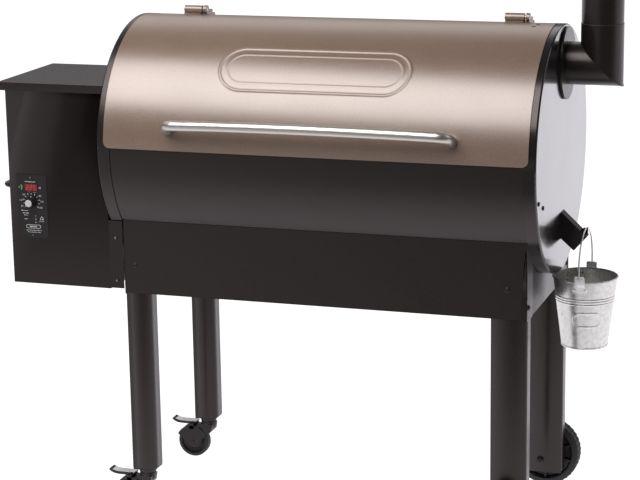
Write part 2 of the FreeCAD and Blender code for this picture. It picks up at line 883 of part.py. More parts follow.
def build_lid_hinges():
    y, z = d.lid_axis_y, d.lid_axis_z
    radius = d.lid_knuckle_radius
    leaf_z = lid_outer_radius() + 0.1
    bore_radius = d.lid_pin_radius + d.running_play
    knuckles, brackets, pins = [], [], []
    for left in (d.left_hinge_x, d.right_hinge_x):
        right = left + d.lid_knuckle_length
        barrel = rod("X", left, right, y, z, radius)
        leaf = block(left + 1, right - 1, 0, y, leaf_z, leaf_z + 2.2)
        bore = rod("X", left - 5, right + 5, y, z, bore_radius)
        knuckles.append(cut(fuse(barrel, leaf), bore))
        ear_low = right + d.hinge_gap
        ear_high = ear_low + d.hinge_ear
        ear = fuse(rod("X", ear_low, ear_high, y, z, radius + 0.5),
                   block(ear_low, ear_high, y - 4, y + 30, d.barrel_radius - 6, z - 2))
        foot = block(left, ear_high, y + 12, y + 44, d.barrel_radius - 8, d.barrel_radius + 2)
        shell = rod("X", -d.barrel_length, d.barrel_length, 0, 0, d.barrel_radius)
        pin_hole = rod("X", ear_low - 5, ear_high + 5, y, z, d.lid_pin_radius)
        brackets.append(cut(fuse(ear, foot), shell, pin_hole))
        pins.append(rod("X", left - 2, ear_high, y, z, d.lid_pin_radius))
    rod_low, rod_high = d.hopper_left + 8, d.hopper_right - 16
    pins.append(rod("X", rod_low, rod_high, d.hopper_axis_y, d.hopper_axis_z, d.hopper_rod_radius))
    publish(group(*knuckles), "lid_knuckles")
    publish(group(*brackets), "hinge_brackets")
    publish(group(*pins), "hinge_pins")


# ---------------------------------------------------------------- inside the barrel

def build_grates():
    top = d.rail_top_z
    inner = d.barrel_radius - d.barrel_wall
    reach = root(inner * inner - (top - 2) * (top - 2)) - 0.2
    rails = [block(-435, 435, low, low + 16, top - 2, top) for low in (-reach, reach - 16)]
    publish(group(*rails), "grate_rails")
    half, depth = d.grate_length / 2, d.grate_half_depth
    bar_top = top + d.grate_bar_height
    rod_z = top + d.grate_bar_height / 2
    for label, step in (("left", -1), ("middle", 0), ("right", 1)):
        centre = step * d.grate_pitch
        bars = [block(centre - half, centre + half, y - 3, y + 3, top, bar_top)
                for y in (-(depth - 3), as_size(0), depth - 3)]
        count = 18
        rods = []
        for index in range(count):
            x = centre - half + 8 + (d.grate_length - 16) * index / (count - 1)
            rods.append(rod("Y", -depth + 1, depth - 1, x, rod_z, d.grate_rod_radius))
        publish(fuse(*bars, *rods), f"cooking_grate_{label}")


def build_tray():
    length = d.tray_right - d.tray_left
    depth = d.tray_half_depth
    outer = block(0, length, -depth, depth, -d.tray_lip, 0)
    wall = d.tray_wall
    inner = block(wall, length + 5, -depth + wall, depth - wall, -d.tray_lip + wall, 5)
    tray = cut(outer, inner)
    place(tray, d.tray_left, 0, d.tray_z, Rotation(Vector(0, 1, 0), d.tray_slope.number))
    publish(tray, "drip_tray")
    half, top, wall = d.baffle_half, d.baffle_z, d.baffle_wall
    roof = block(-half, half, -half, half, top, top + wall)
    walls = [block(-half, half, low, low + wall, top - d.baffle_depth, top) for low in (-half, half - wall)]
    publish(fuse(roof, *walls), "heat_baffle")
    shell = d.barrel_radius - d.barrel_wall
    start, end, reach = d.trough_left, d.trough_right, d.trough_half_length
    rim, floor = d.trough_top_z, d.trough_floor_z
    trough_line = [(start, rim - 18), (start + 2, rim - 18), (start + 8, floor), (end - 2, floor + 20),
                   (end - 2, rim), (end, rim), (end, floor + 18), (start + 7, floor - 2.5)]
    inside = rod("X", start - 12, end + 8, 0, 0, shell - d.skirt_play)
    publish(common(profile_xz(trough_line, -reach, reach), inside), "grease_trough")


def build_fire_pot():
    radius, bottom, top, wall = d.pot_radius, d.pot_bottom_z, d.pot_top_z, d.pot_wall
    cup = rod("Z", bottom, top, 0, 0, radius)
    hollow = rod("Z", bottom + wall, top + 5, 0, 0, radius - wall)
    feed = rod("X", -radius - 5, -radius + 25, 0, d.auger_z, d.auger_tube_radius + d.hole_play)
    heat = rod("X", -radius - 5, -radius + 25, 0, d.igniter_z, d.igniter_radius + d.hole_play)
    vents = [rod("Y", -radius - 5, radius + 5, across, bottom + rise, d.pot_vent_radius)
             for across in (-20, 0, 20) for rise in (23, 43, 63)]
    publish(cut(cup, hollow, feed, heat, *vents), "fire_pot")
    publish(rod("X", -3 * radius, -radius + 8, 0, d.igniter_z, d.igniter_radius), "igniter_rod")
    face = -d.barrel_length / 2 + d.cap_wall
    stalk = rod("X", face, face + d.probe_length, d.probe_y, d.probe_z, d.probe_radius)
    nut = rod("X", face, face + 4, d.probe_y, d.probe_z, d.probe_radius + 5)
    publish(fuse(stalk, nut), "temperature_probe")


# ---------------------------------------------------------------- auger and blower

def build_auger():
    left, right, z = d.auger_left, d.auger_right, d.auger_z
    radius = d.auger_tube_radius
    tube = rod("X", left, right, 0, z, radius)
    bore = rod("X", left + d.auger_tube_wall, right + 5, 0, z, radius - d.auger_tube_wall)
    shaft_hole = rod("X", left - 5, left + 5, 0, z, d.auger_shaft_radius + d.running_play)
    wall, half = d.funnel_wall, d.throat_half - d.funnel_wall
    inlet = block(d.throat_left + wall, d.throat_right - wall, -half, half, z + 10, z + 40)
    publish(cut(tube, bore, shaft_hole, inlet), "auger_tube")
    shaft = rod("X", left - 4, right - 12, 0, z, d.auger_shaft_radius)
    flights = []
    start = left + 24
    count = int((right.number - left.number - 60) / d.auger_pitch.number)
    for index in range(count):
        flight = rod("X", 0, d.auger_flight_wall, 0, 0, d.auger_flight_radius)
        lean = Rotation(Vector(0, 1, 0), 18)
        place(flight, start + index * d.auger_pitch, 0, z, lean * ALONG["X"])
        flights.append(flight)
    publish(fuse(shaft, *flights), "auger_screw")
    deep, high = d.gearbox_half_depth, d.gearbox_half_height
    near = left - 4.5
    gearbox = block(near - d.gearbox_length, near, -deep, deep, z - high, z + high)
    can = rod("Y", deep, deep + 8, left - 17, z - 14, 11)
    publish(fuse(gearbox, can), "auger_motor")


def build_blower():
    y, z, radius = d.blower_y, d.blower_z, d.blower_radius
    left, right, skin = d.blower_left, d.blower_right, d.blower_wall
    wall = -d.barrel_length / 2 + d.cap_wall
    scroll = rod("X", left, right, y, z, radius)
    duct = air_passage(right - 20, wall, 0)
    motor = rod("X", left - d.blower_motor_length, left, y, z, d.blower_motor_radius)
    chamber = rod("X", left + skin, right - skin, y, z, radius - skin)
    channel = air_passage(right - 18, wall + 5, -d.air_wall)
    eye = rod("X", right - 5, right + 5, y, z, d.blower_eye_radius)
    shaft_hole = rod("X", left - 12, left + 5, y, z, d.impeller_shaft_radius + d.running_play)
    publish(cut(fuse(scroll, duct, motor), chamber, channel, eye, shaft_hole), "blower_housing")
    blade_left, blade_right = left + 4, right - 8
    hub = rod("X", blade_left, blade_right, y, z, d.impeller_hub_radius)
    shaft = rod("X", left - 10, blade_left + 2, y, z, d.impeller_shaft_radius)
    back_plate = rod("X", blade_left, blade_left + 2, y, z, d.impeller_radius)
    blades = []
    blade_count, blade_half_wall, blade_root = 8, 0.75, 6
    for index in range(blade_count):
        turn = 360 / blade_count * index
        angle = math.radians(turn)
        blade = block(blade_left + 1, blade_right, blade_root, d.impeller_radius,
                      -blade_half_wall, blade_half_wall)
        place(blade, blade_left + 1, y + blade_root * math.cos(angle), z + blade_root * math.sin(angle),
              Rotation(Vector(1, 0, 0), turn))
        blades.append(blade)
    publish(fuse(hub, shaft, back_plate, *blades), "blower_impeller")


# ---------------------------------------------------------------- hopper

def build_hopper_body():
    left, right, front, back = d.hopper_left, d.hopper_right, d.hopper_front, d.hopper_back
    bottom, top, wall = d.hopper_bottom, d.hopper_top, d.hopper_wall
    outer = block(left, right, front, back, bottom, top)
    flange = block(right - 1, d.hopper_flange_right, front, front + wall, bottom + d.hopper_flange_gap,
                   d.hopper_flange_top)
    ears = []
    axis_y, axis_z = d.hopper_axis_y, d.hopper_axis_z
    for low in (d.hopper_ear_left, d.hopper_ear_right):
        ears.append(block(low, low + d.hopper_ear_wall, back - 0.5, axis_y + 4, axis_z - 5, axis_z + 3.5))
    inner = block(left + wall, right - wall, front + wall, back - wall, bottom + wall, top + 5)
    side, end = d.panel_window_side, d.panel_window_end
    window = block(d.panel_left + side, d.panel_right - side, front - 5, front + 5,
                   d.panel_bottom + end, d.panel_top - end)
    auger = rod("X", right - 5, right + 5, 0, d.auger_z, d.auger_tube_radius + d.hole_play)
    air = air_passage(right - 5, right + 5, 1)
    rod_hole = rod("X", left, right, axis_y, axis_z, d.hopper_rod_radius)
    screws = [hole("Y", face, side, rise, d.screw_radius)
              for axis, face, sign, side, rise in panel_screw_places() if axis == "Y"]
    screws.append(hole("X", right, d.hopper_screw_y, d.hopper_screw_z, d.screw_radius))
    wide, high = d.inlet_half_width + 1, d.inlet_half_height + 1
    inlet = block(d.inlet_x - wide, d.inlet_x + wide, back - 5, back + 5, d.inlet_z - high, d.inlet_z + high)
    shell = cut(outer, inner)
    publish(cut(fuse(shell, flange, *ears), window, auger, air, rod_hole, inlet, *screws), "hopper_body")


def frustum(x_low, x_high, y_low, y_high, bottom, throat, top):
    """A tapered block: a throat of (x_low, x_high, half depth) at the bottom, a rectangle at the top."""
    wedge = doc.addObject("Part::Wedge", "Frustum")
    throat_low, throat_high, throat_half = throat
    bind(wedge, "Ymin", bottom)
    bind(wedge, "Ymax", top)
    bind(wedge, "Xmin", throat_low)
    bind(wedge, "Xmax", throat_high)
    bind(wedge, "Zmin", -as_size(throat_half))
    bind(wedge, "Zmax", throat_half)
    bind(wedge, "X2min", x_low)
    bind(wedge, "X2max", x_high)
    bind(wedge, "Z2min", -as_size(y_high))
    bind(wedge, "Z2max", -as_size(y_low))
    return place(wedge, 0, 0, 0, Rotation(Vector(1, 0, 0), 90))


def build_hopper_inside():
    left, right = d.hopper_left + d.hopper_wall, d.hopper_right - d.hopper_wall
    front, back = d.hopper_front + d.hopper_wall, d.hopper_back - d.hopper_wall
    bottom, top = d.funnel_bottom_z, d.funnel_top_z
    wall = d.funnel_wall
    throat = (d.throat_left, d.throat_right, d.throat_half)
    opening = (d.throat_left + wall, d.throat_right - wall, d.throat_half - wall)
    outer = frustum(left, right, front, back, bottom, throat, top)
    inner = frustum(left + wall, right - wall, front + wall, back - wall, bottom - 0.01, opening, top + 0.01)
    publish(cut(outer, inner), "hopper_funnel")
    z, rail = d.guard_z, d.guard_rail
    sides = [block(low, low + rail, front, back, z - rail, z + rail) for low in (left, right - rail)]
    count = 9
    bars = []
    for index in range(count):
        y = front + 14 + (back - front - 28) * index / (count - 1)
        bars.append(rod("X", left + 2, right - 2, y, z, d.guard_rod_radius))
    publish(fuse(*sides, *bars), "hopper_guard")


def build_hopper_lid():
    left, right, front = d.hopper_lid_left, d.hopper_lid_right, d.hopper_lid_front
    top, wall = d.hopper_lid_top, d.hopper_lid_wall
    axis_y, axis_z = d.hopper_axis_y, d.hopper_axis_z
    plate = block(left, right, front, axis_y + 3, top - wall, top)
    low = top - d.hopper_lid_skirt
    front_skirt = block(left, right, front, front + wall, low, top)
    left_skirt = block(left, left + wall, front, axis_y - 12, low, top)
    knuckle_low, knuckle_high = d.hopper_left + 16, d.hopper_right - 24
    knuckle = rod("X", knuckle_low, knuckle_high, axis_y, axis_z, d.hopper_knuckle_radius)
    web = block(knuckle_low, knuckle_high, axis_y - 1.5, axis_y + 1.5, axis_z + 4, top - wall / 2)
    bore = rod("X", knuckle_low - 5, knuckle_high + 5, axis_y, axis_z, d.hopper_rod_radius + d.running_play)
    publish(cut(fuse(plate, front_skirt, left_skirt, knuckle, web), bore), "hopper_lid")


def build_hopper_handle():
    x, z, radius = d.hopper_left.number, d.grip_z.number, d.grip_rod_radius.number
    out = x - d.grip_reach.number
    front, back = d.grip_front_y.number, d.grip_back_y.number
    corners = [Vector(x, front, z), Vector(out, front, z), Vector(out, back, z), Vector(x, back, z)]
    publish(bent_rod(corners, [16, 16], radius), "hopper_handle")


def build_controls():
    left, right, low, high = d.panel_left, d.panel_right, d.panel_bottom, d.panel_top
    face = d.hopper_front - d.panel_proud
    fascia = block(left, right, face, d.hopper_front, low, high)
    side, end = d.panel_window_side + 1, d.panel_window_end + 1
    case = block(left + side, right - side, d.hopper_front, d.hopper_front + d.case_depth,
                 low + end, high - end)
    window_left, window_right = d.display_x - d.display_width / 2, d.display_x + d.display_width / 2
    window_low, window_high = d.display_z - d.display_height / 2, d.display_z + d.display_height / 2
    pocket = block(window_left, window_right, face - 5, face + 1, window_low, window_high)
    lamp_x = d.display_x - d.lamp_offset
    lamp_hole = rod("Y", face - 5, face + 1, lamp_x, d.display_z, d.lamp_radius)
    shaft_hole = rod("Y", face - 5, face + 18, d.display_x, d.dial_z, d.dial_shaft_radius + d.running_play)
    screws = [hole("Y", face, side, rise, d.screw_radius)
              for axis, spot, sign, side, rise in panel_screw_places() if spot.number == face.number]
    publish(cut(fuse(fascia, case), pocket, lamp_hole, shaft_hole, *screws), "control_panel")
    window = block(window_left, window_right, face - 0.5, face + 1, window_low, window_high)
    lamp = rod("Y", face - 1, face + 1, lamp_x, d.display_z, d.lamp_radius)
    publish(group(window, lamp), "display_window")
    reach = face - d.dial_reach
    cap_end = reach + d.dial_cap_height
    skirt = cone("Y", cap_end, face - 0.5, d.display_x, d.dial_z, d.dial_face_radius, d.dial_skirt_radius)
    tip = rod("Y", reach, cap_end, d.display_x, d.dial_z, d.dial_cap_radius)
    shaft = rod("Y", face - 2, face + 15, d.display_x, d.dial_z, d.dial_shaft_radius)
    publish(fuse(skirt, tip, shaft), "control_knob")
    back, x, z = d.hopper_back, d.inlet_x, d.inlet_z
    wide, high = d.inlet_half_width, d.inlet_half_height
    socket = block(x - wide, x + wide, back - 12, back + 3, z - high, z + high)
    recess = block(x + 6 - wide, x + wide - 6, back - 8, back + 5, z + 5 - high, z + high - 5)
    publish(cut(socket, recess), "power_inlet")


# ---------------------------------------------------------------- chimney

def elbow_solid(radius, start_x, top_z):
    """A mitred bend: out along X, then up along Z."""
    level = rod("X", start_x, d.stack_x + radius + 5, d.duct_y, d.duct_z, radius)
    upright = rod("Z", d.duct_z - radius - 5, top_z, d.stack_x, d.duct_y, radius)
    return fuse(common(level, mitre_block(False)), common(upright, mitre_block(True)))


def mitre_block(upper):
    """A block that fills one side of the plane which splits the bend's right angle."""
    side = 600
    box = doc.addObject("Part::Box", "Mitre")
    for prop in ("Length", "Width", "Height"):
        bind(box, prop, side)
    # The block's own corner edge lies on the mitre plane; its face is turned to 45 degrees.
    turn = Rotation(Vector(0, 1, 0), 45)
    offset = turn.multVec(Vector(-side / 2, -side / 2, 0 if upper else -side))
    return place(box, d.stack_x + offset.x, d.duct_y + offset.y, d.duct_z + offset.z, turn)


def build_chimney():
    face = d.barrel_length / 2
    radius, wall = d.duct_radius, d.duct_wall
    y, z = d.duct_y, d.duct_z
    start = face + d.gasket_thickness
    disc = rod("X", face, start, y, z, d.gasket_radius)
    publish(cut(disc, rod("X", face - 5, face + 5, y, z, radius - wall)), "chimney_gasket")
    flange = rod("X", start, start + d.flange_thickness, y, z, d.flange_radius)
    skin = fuse(elbow_solid(radius, start, d.elbow_top_z), flange)
    core = elbow_solid(radius - wall, start - 5, d.elbow_top_z + 5)
    publish(cut(skin, core), "chimney_elbow")

    x, top = d.stack_x, d.pipe_top_z
    sleeve = rod("Z", d.elbow_top_z - 30, d.elbow_top_z + 1, x, y, radius - wall - 0.2)
    pipe = rod("Z", d.elbow_top_z, top, x, y, d.pipe_radius)
    bore = rod("Z", d.elbow_top_z - 40, top + 5, x, y, d.pipe_radius - 2 * wall)
    spider_z, half = top - d.spider_depth, d.spider_half_width
    reach = d.pipe_radius - wall
    bar = block(x - reach, x + reach, y - half, y + half, spider_z, spider_z + half)
    stem_hole = rod("Z", spider_z - 5, spider_z + 15, x, y, d.cap_stem_radius + d.running_play)
    publish(cut(fuse(cut(fuse(sleeve, pipe), bore), bar), stem_hole), "chimney_pipe")

    cap_top, cap_radius = d.cap_top_z, d.cap_radius
    roof_line = [(0, 22), (cap_radius - wall, 17), (cap_radius - wall, 9), (cap_radius, 9),
                 (cap_radius, 18.5), (0, 24)]
    roof = turned("Z", roof_line, (x, y, top))
    stem = rod("Z", spider_z - 16, top + 23, x, y, d.cap_stem_radius)
    nut = rod("Z", top + 23, cap_top, x, y, d.cap_nut_radius)
    publish(fuse(roof, stem, nut), "chimney_cap")


# ---------------------------------------------------------------- grease spout, bail and bucket

def build_spout():
    face = d.barrel_length / 2
    front, back = d.spout_front_y, d.spout_back_y
    chute_line = [(face, -131), (face + 54.5, -182), (face + 27.5, -212.5), (face, -188)]
    bore_line = [(face - 5, -129), (face + 62, -191), (face + 34, -217.5), (face - 5, -181.5)]
    chute = profile_xz(chute_line, front, back)
    bore = profile_xz(bore_line, front + d.spout_wall, back - d.spout_wall)
    x, z = d.hook_x, d.hook_z
    middle = (front + back) / 2
    prong = z + d.hook_prong
    tab_line = [(x - 17, z - 6), (x - 4, prong), (x + 4.5, prong), (x + 4.5, z - 9), (x - 3, z - 17),
                (x - 17, z - 7)]
    tab = profile_xz(tab_line, middle - 1.5, middle + 1.5)
    seat = rod("Y", middle - 5, middle + 5, x, z, d.bail_wire_radius + 0.4)
    slot = block(x - 2, x + 2, middle - 5, middle + 5, z, z + 10)
    publish(cut(fuse(cut(chute, bore), tab), seat, slot), "grease_spout")


def spout_middle():
    return (d.spout_front_y + d.spout_back_y) / 2


def build_bail():
    x, wide = d.hook_x.number, d.bail_half_width.number
    y = spout_middle().number
    top, low = d.hook_z.number, d.lug_z.number
    inward = wide - 5.3
    corners = [Vector(x, y + across, z) for across, z in
               ((-inward, low), (-wide, low), (-wide, top), (wide, top), (wide, low), (inward, low))]
    arch = wide - 0.1
    publish(bent_rod(corners, [2.6, arch, arch, 2.6], d.bail_wire_radius.number), "bucket_bail")


def build_pail():
    x, y = d.hook_x, spout_middle()
    rim, low, wall = d.pail_rim_radius, d.pail_bottom_radius, d.pail_wall
    height = d.pail_height
    corners = [(0, -height), (low, -height), (rim - 1.7, -4), (rim, -4), (rim, 0), (rim - 2.7, 0),
               (low - wall, wall * 1.5 - height), (0, wall * 1.5 - height)]
    publish(turned("Z", corners, (x, y, d.pail_rim_z)), "bucket_pail")
    lugs = []
    for sign in (-1, 1):
        inner, outer = sign * (rim + 0.1), sign * (rim + 1.6)
        low_y, high_y = (inner, outer) if sign > 0 else (outer, inner)
        rim_z = d.pail_rim_z
        half, wing = d.lug_half_width, d.lug_wing
        line = [(x - half, d.lug_z + 6), (x + half, d.lug_z + 6), (x + half, rim_z - 6),
                (x + wing, rim_z - 16), (x, rim_z - 26), (x - wing, rim_z - 16), (x - half, rim_z - 6)]
        plate = profile_xz(line, y + low_y, y + high_y)
        rivets = []
        for side in (-d.lug_rivet_spacing, d.lug_rivet_spacing):
            near, far = sign * (rim - 3.3), sign * (rim + 2.6)
            near_y, far_y = (near, far) if sign > 0 else (far, near)
            rivets.append(rod("Y", y + near_y, y + far_y, x + side, rim_z - 15, d.lug_rivet_radius))
        eye = rod("Y", y + low_y - 5, y + high_y + 5, x, d.lug_z, d.bail_wire_radius + 0.35)
        lugs.append(cut(fuse(plate, *rivets), eye))
    publish(group(*lugs), "bucket_lugs")


# ---------------------------------------------------------------- the whole grill

def check_and_write():
    """Stop on any failed object or bad shape, then write one STEP file for each sub-part."""
    doc.recompute()
    for obj in doc.Objects:
        if "Invalid" in obj.State or "Error" in obj.State:
            raise RuntimeError(f"{obj.Name} ({obj.Label}) failed: {obj.State}")
    labels = [node.Label for node in nodes]
    if len(set(labels)) != len(labels) or len(labels) > 60:
        raise RuntimeError(f"{len(labels)} sub-parts, {len(set(labels))} different names")
    os.makedirs("parts", exist_ok=True)
    whole = FreeCAD.BoundBox()
    for node in nodes:
        shape = node.Shape
        if shape.isNull() or not shape.isValid() or not shape.Solids:
            raise RuntimeError(f"{node.Label} has a bad shape")
        whole.add(shape.optimalBoundingBox())
        shape.exportStep(f"parts/{node.Label}.step")
        print(f"{node.Label}: {len(shape.Solids)} solids, {shape.Volume / 1000:.1f} cm3")
    centre = whole.Center
    print(f"{len(nodes)} sub-parts, box {whole.XLength:.1f} x {whole.YLength:.1f} x {whole.ZLength:.1f}")
    print(f"centre x {centre.x:.2f} y {centre.y:.2f}, bottom z {whole.ZMin:.2f}")


build_barrel()
build_end_caps()
build_skirt()
build_legs()
build_fasteners()
build_axles()
build_road_wheels()
build_caster_sockets()
build_caster("front", False)
build_caster("rear", True)
build_lid_shell()
build_lid_handle()
build_lid_hinges()
build_grates()
build_tray()
build_fire_pot()
build_auger()
build_blower()
build_hopper_body()
build_hopper_inside()
build_hopper_lid()
build_hopper_handle()
build_controls()
build_chimney()
build_spout()
build_bail()
build_pail()
check_and_write()
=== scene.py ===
"""The looks of the pellet smoker grill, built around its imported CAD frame.

Lengths here are millimetres from the middle of the barrel's axis, with +X to the chimney, +Y to the back
and +Z up. at() turns such a point into the frame's own metres.
"""

import json
import math

import bmesh
import bpy
from mathutils import Matrix, Vector

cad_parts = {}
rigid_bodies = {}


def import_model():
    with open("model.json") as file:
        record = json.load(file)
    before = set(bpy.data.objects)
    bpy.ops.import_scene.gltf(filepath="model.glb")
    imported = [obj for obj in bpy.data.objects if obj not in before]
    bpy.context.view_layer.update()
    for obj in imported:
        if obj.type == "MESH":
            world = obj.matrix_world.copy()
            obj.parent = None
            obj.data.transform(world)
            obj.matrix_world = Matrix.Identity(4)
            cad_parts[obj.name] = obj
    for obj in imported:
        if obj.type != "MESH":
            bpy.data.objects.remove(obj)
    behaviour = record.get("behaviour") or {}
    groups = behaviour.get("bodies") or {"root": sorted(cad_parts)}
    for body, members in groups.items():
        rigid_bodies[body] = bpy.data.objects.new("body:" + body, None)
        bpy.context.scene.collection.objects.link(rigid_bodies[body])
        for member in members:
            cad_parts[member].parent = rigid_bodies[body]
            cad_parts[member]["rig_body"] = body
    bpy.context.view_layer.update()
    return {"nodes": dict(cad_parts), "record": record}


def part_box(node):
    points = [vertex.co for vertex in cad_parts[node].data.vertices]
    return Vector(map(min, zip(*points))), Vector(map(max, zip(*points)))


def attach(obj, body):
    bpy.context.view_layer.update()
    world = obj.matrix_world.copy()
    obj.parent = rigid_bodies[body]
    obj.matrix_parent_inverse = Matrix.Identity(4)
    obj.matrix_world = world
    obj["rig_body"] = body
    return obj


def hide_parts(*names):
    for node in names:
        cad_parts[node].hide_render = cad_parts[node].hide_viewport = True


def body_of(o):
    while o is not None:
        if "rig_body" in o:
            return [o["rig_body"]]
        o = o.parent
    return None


for default in list(bpy.data.objects):
    bpy.data.objects.remove(default)

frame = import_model()
slots = {part["node"]: part["material_slot"] for part in frame["record"]["subparts"]}

MM = 0.001
left_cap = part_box("left_end_cap")
right_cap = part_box("right_end_cap")
MIDDLE = Vector(((left_cap[0].x + right_cap[1].x) / 2, (right_cap[0].y + right_cap[1].y) / 2,
                 (right_cap[0].z + right_cap[1].z) / 2))
FACE_X = (right_cap[1].x - left_cap[0].x) / 2 / MM
AXES = {"X": (1, 2, 0), "Y": (2, 0, 1), "Z": (0, 1, 2)}


def at(x, y, z):
    """A point in millimetres about the barrel's middle, as metres in the frame."""
    return MIDDLE + Vector((x, y, z)) * MM


spans = {}


def span(node):
    """A CAD node's lowest and highest corners, in millimetres about the barrel's middle."""
    if node not in spans:
        low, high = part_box(node)
        spans[node] = (low - MIDDLE) / MM, (high - MIDDLE) / MM
    return spans[node]


# ---------------------------------------------------------------- finishes

def links(tree, *pairs):
    """Joins each (output, input) pair of sockets."""
    for source, target in pairs:
        tree.links.new(source, target)


def add_node(tree, kind, **values):
    """A shader node with the given properties and input defaults."""
    node = tree.nodes.new(kind)
    for key, value in values.items():
        if hasattr(node, key):
            setattr(node, key, value)
        else:
            node.inputs[key.replace("_", " ").title()].default_value = value
    return node


def ramp(tree, source, stops):
    """A colour ramp over a source value; stops are (place, colour)."""
    node = tree.nodes.new("ShaderNodeValToRGB")
    elements = node.color_ramp.elements
    while len(elements) < len(stops):
        elements.new(0.5)
    for element, (spot, color) in zip(elements, stops):
        element.position = spot
        element.color = (*color, 1)
    tree.links.new(source, node.inputs["Fac"])
    return node.outputs["Color"]


def spread(tree, source, low, high, from_low=0.3, from_high=0.7):
    """A value mapped from one range to another."""
    node = tree.nodes.new("ShaderNodeMapRange")
    for key, value in (("From Min", from_low), ("From Max", from_high), ("To Min", low), ("To Max", high)):
        node.inputs[key].default_value = value
    tree.links.new(source, node.inputs["Value"])
    return node.outputs["Result"]


def parts_of(tree, kind, output):
    """The X, Y and Z of the vector that a node of this kind gives."""
    source = tree.nodes.new(kind)
    split = tree.nodes.new("ShaderNodeSeparateXYZ")
    links(tree, (source.outputs[output], split.inputs[0]))
    return split.outputs


def new_look(name, **sockets):
    """A material and its shader, with uniform numbers set on the shader's own sockets."""
    look = bpy.data.materials.new(name)
    look.use_nodes = True
    shader = look.node_tree.nodes["Principled BSDF"]
    for key, value in sockets.items():
        shader.inputs[key.replace("_", " ")].default_value = value
    return look, look.node_tree, shader


def noise_at(tree, scale, detail=2.0, stretch=(1, 1, 1)):
    """Noise over the object's own metres; scale is in features per metre."""
    coords = tree.nodes.new("ShaderNodeTexCoord")
    mapping = tree.nodes.new("ShaderNodeMapping")
    mapping.inputs["Scale"].default_value = stretch
    noise = tree.nodes.new("ShaderNodeTexNoise")
    noise.inputs["Scale"].default_value = scale
    noise.inputs["Detail"].default_value = detail
    links(tree, (coords.outputs["Object"], mapping.inputs["Vector"]),
          (mapping.outputs["Vector"], noise.inputs["Vector"]))
    return noise.outputs["Fac"]


def coating(name, dark, light, roughness, scale, depth, stretch=(1, 1, 1), cloud=0.04, **sockets):
    """A finish whose grain varies its colour, roughness and height, with broad faint clouds in its gloss.

    roughness is (low, high), scale the grain's features per metre and depth its height in metres.
    """
    look, tree, shader = new_look(name, **sockets)
    grain = noise_at(tree, scale, 2.0, stretch)
    broad = noise_at(tree, 9.0, 3.0)
    color = ramp(tree, grain, ((0.36, dark), (0.64, light)))
    gloss = spread(tree, grain, *roughness)
    clouds = spread(tree, broad, -cloud, cloud)
    total = add_node(tree, "ShaderNodeMath", operation="ADD")
    bump = tree.nodes.new("ShaderNodeBump")
    bump.inputs["Distance"].default_value = depth
    bump.inputs["Strength"].default_value = 1.0
    links(tree, (color, shader.inputs["Base Color"]), (gloss, total.inputs[0]), (clouds, total.inputs[1]),
          (total.outputs[0], shader.inputs["Roughness"]), (grain, bump.inputs["Height"]),
          (bump.outputs["Normal"], shader.inputs["Normal"]))
    return look


WARM = (1.0, 0.87, 0.84, 1)
COAT_WEIGHT = 0.65

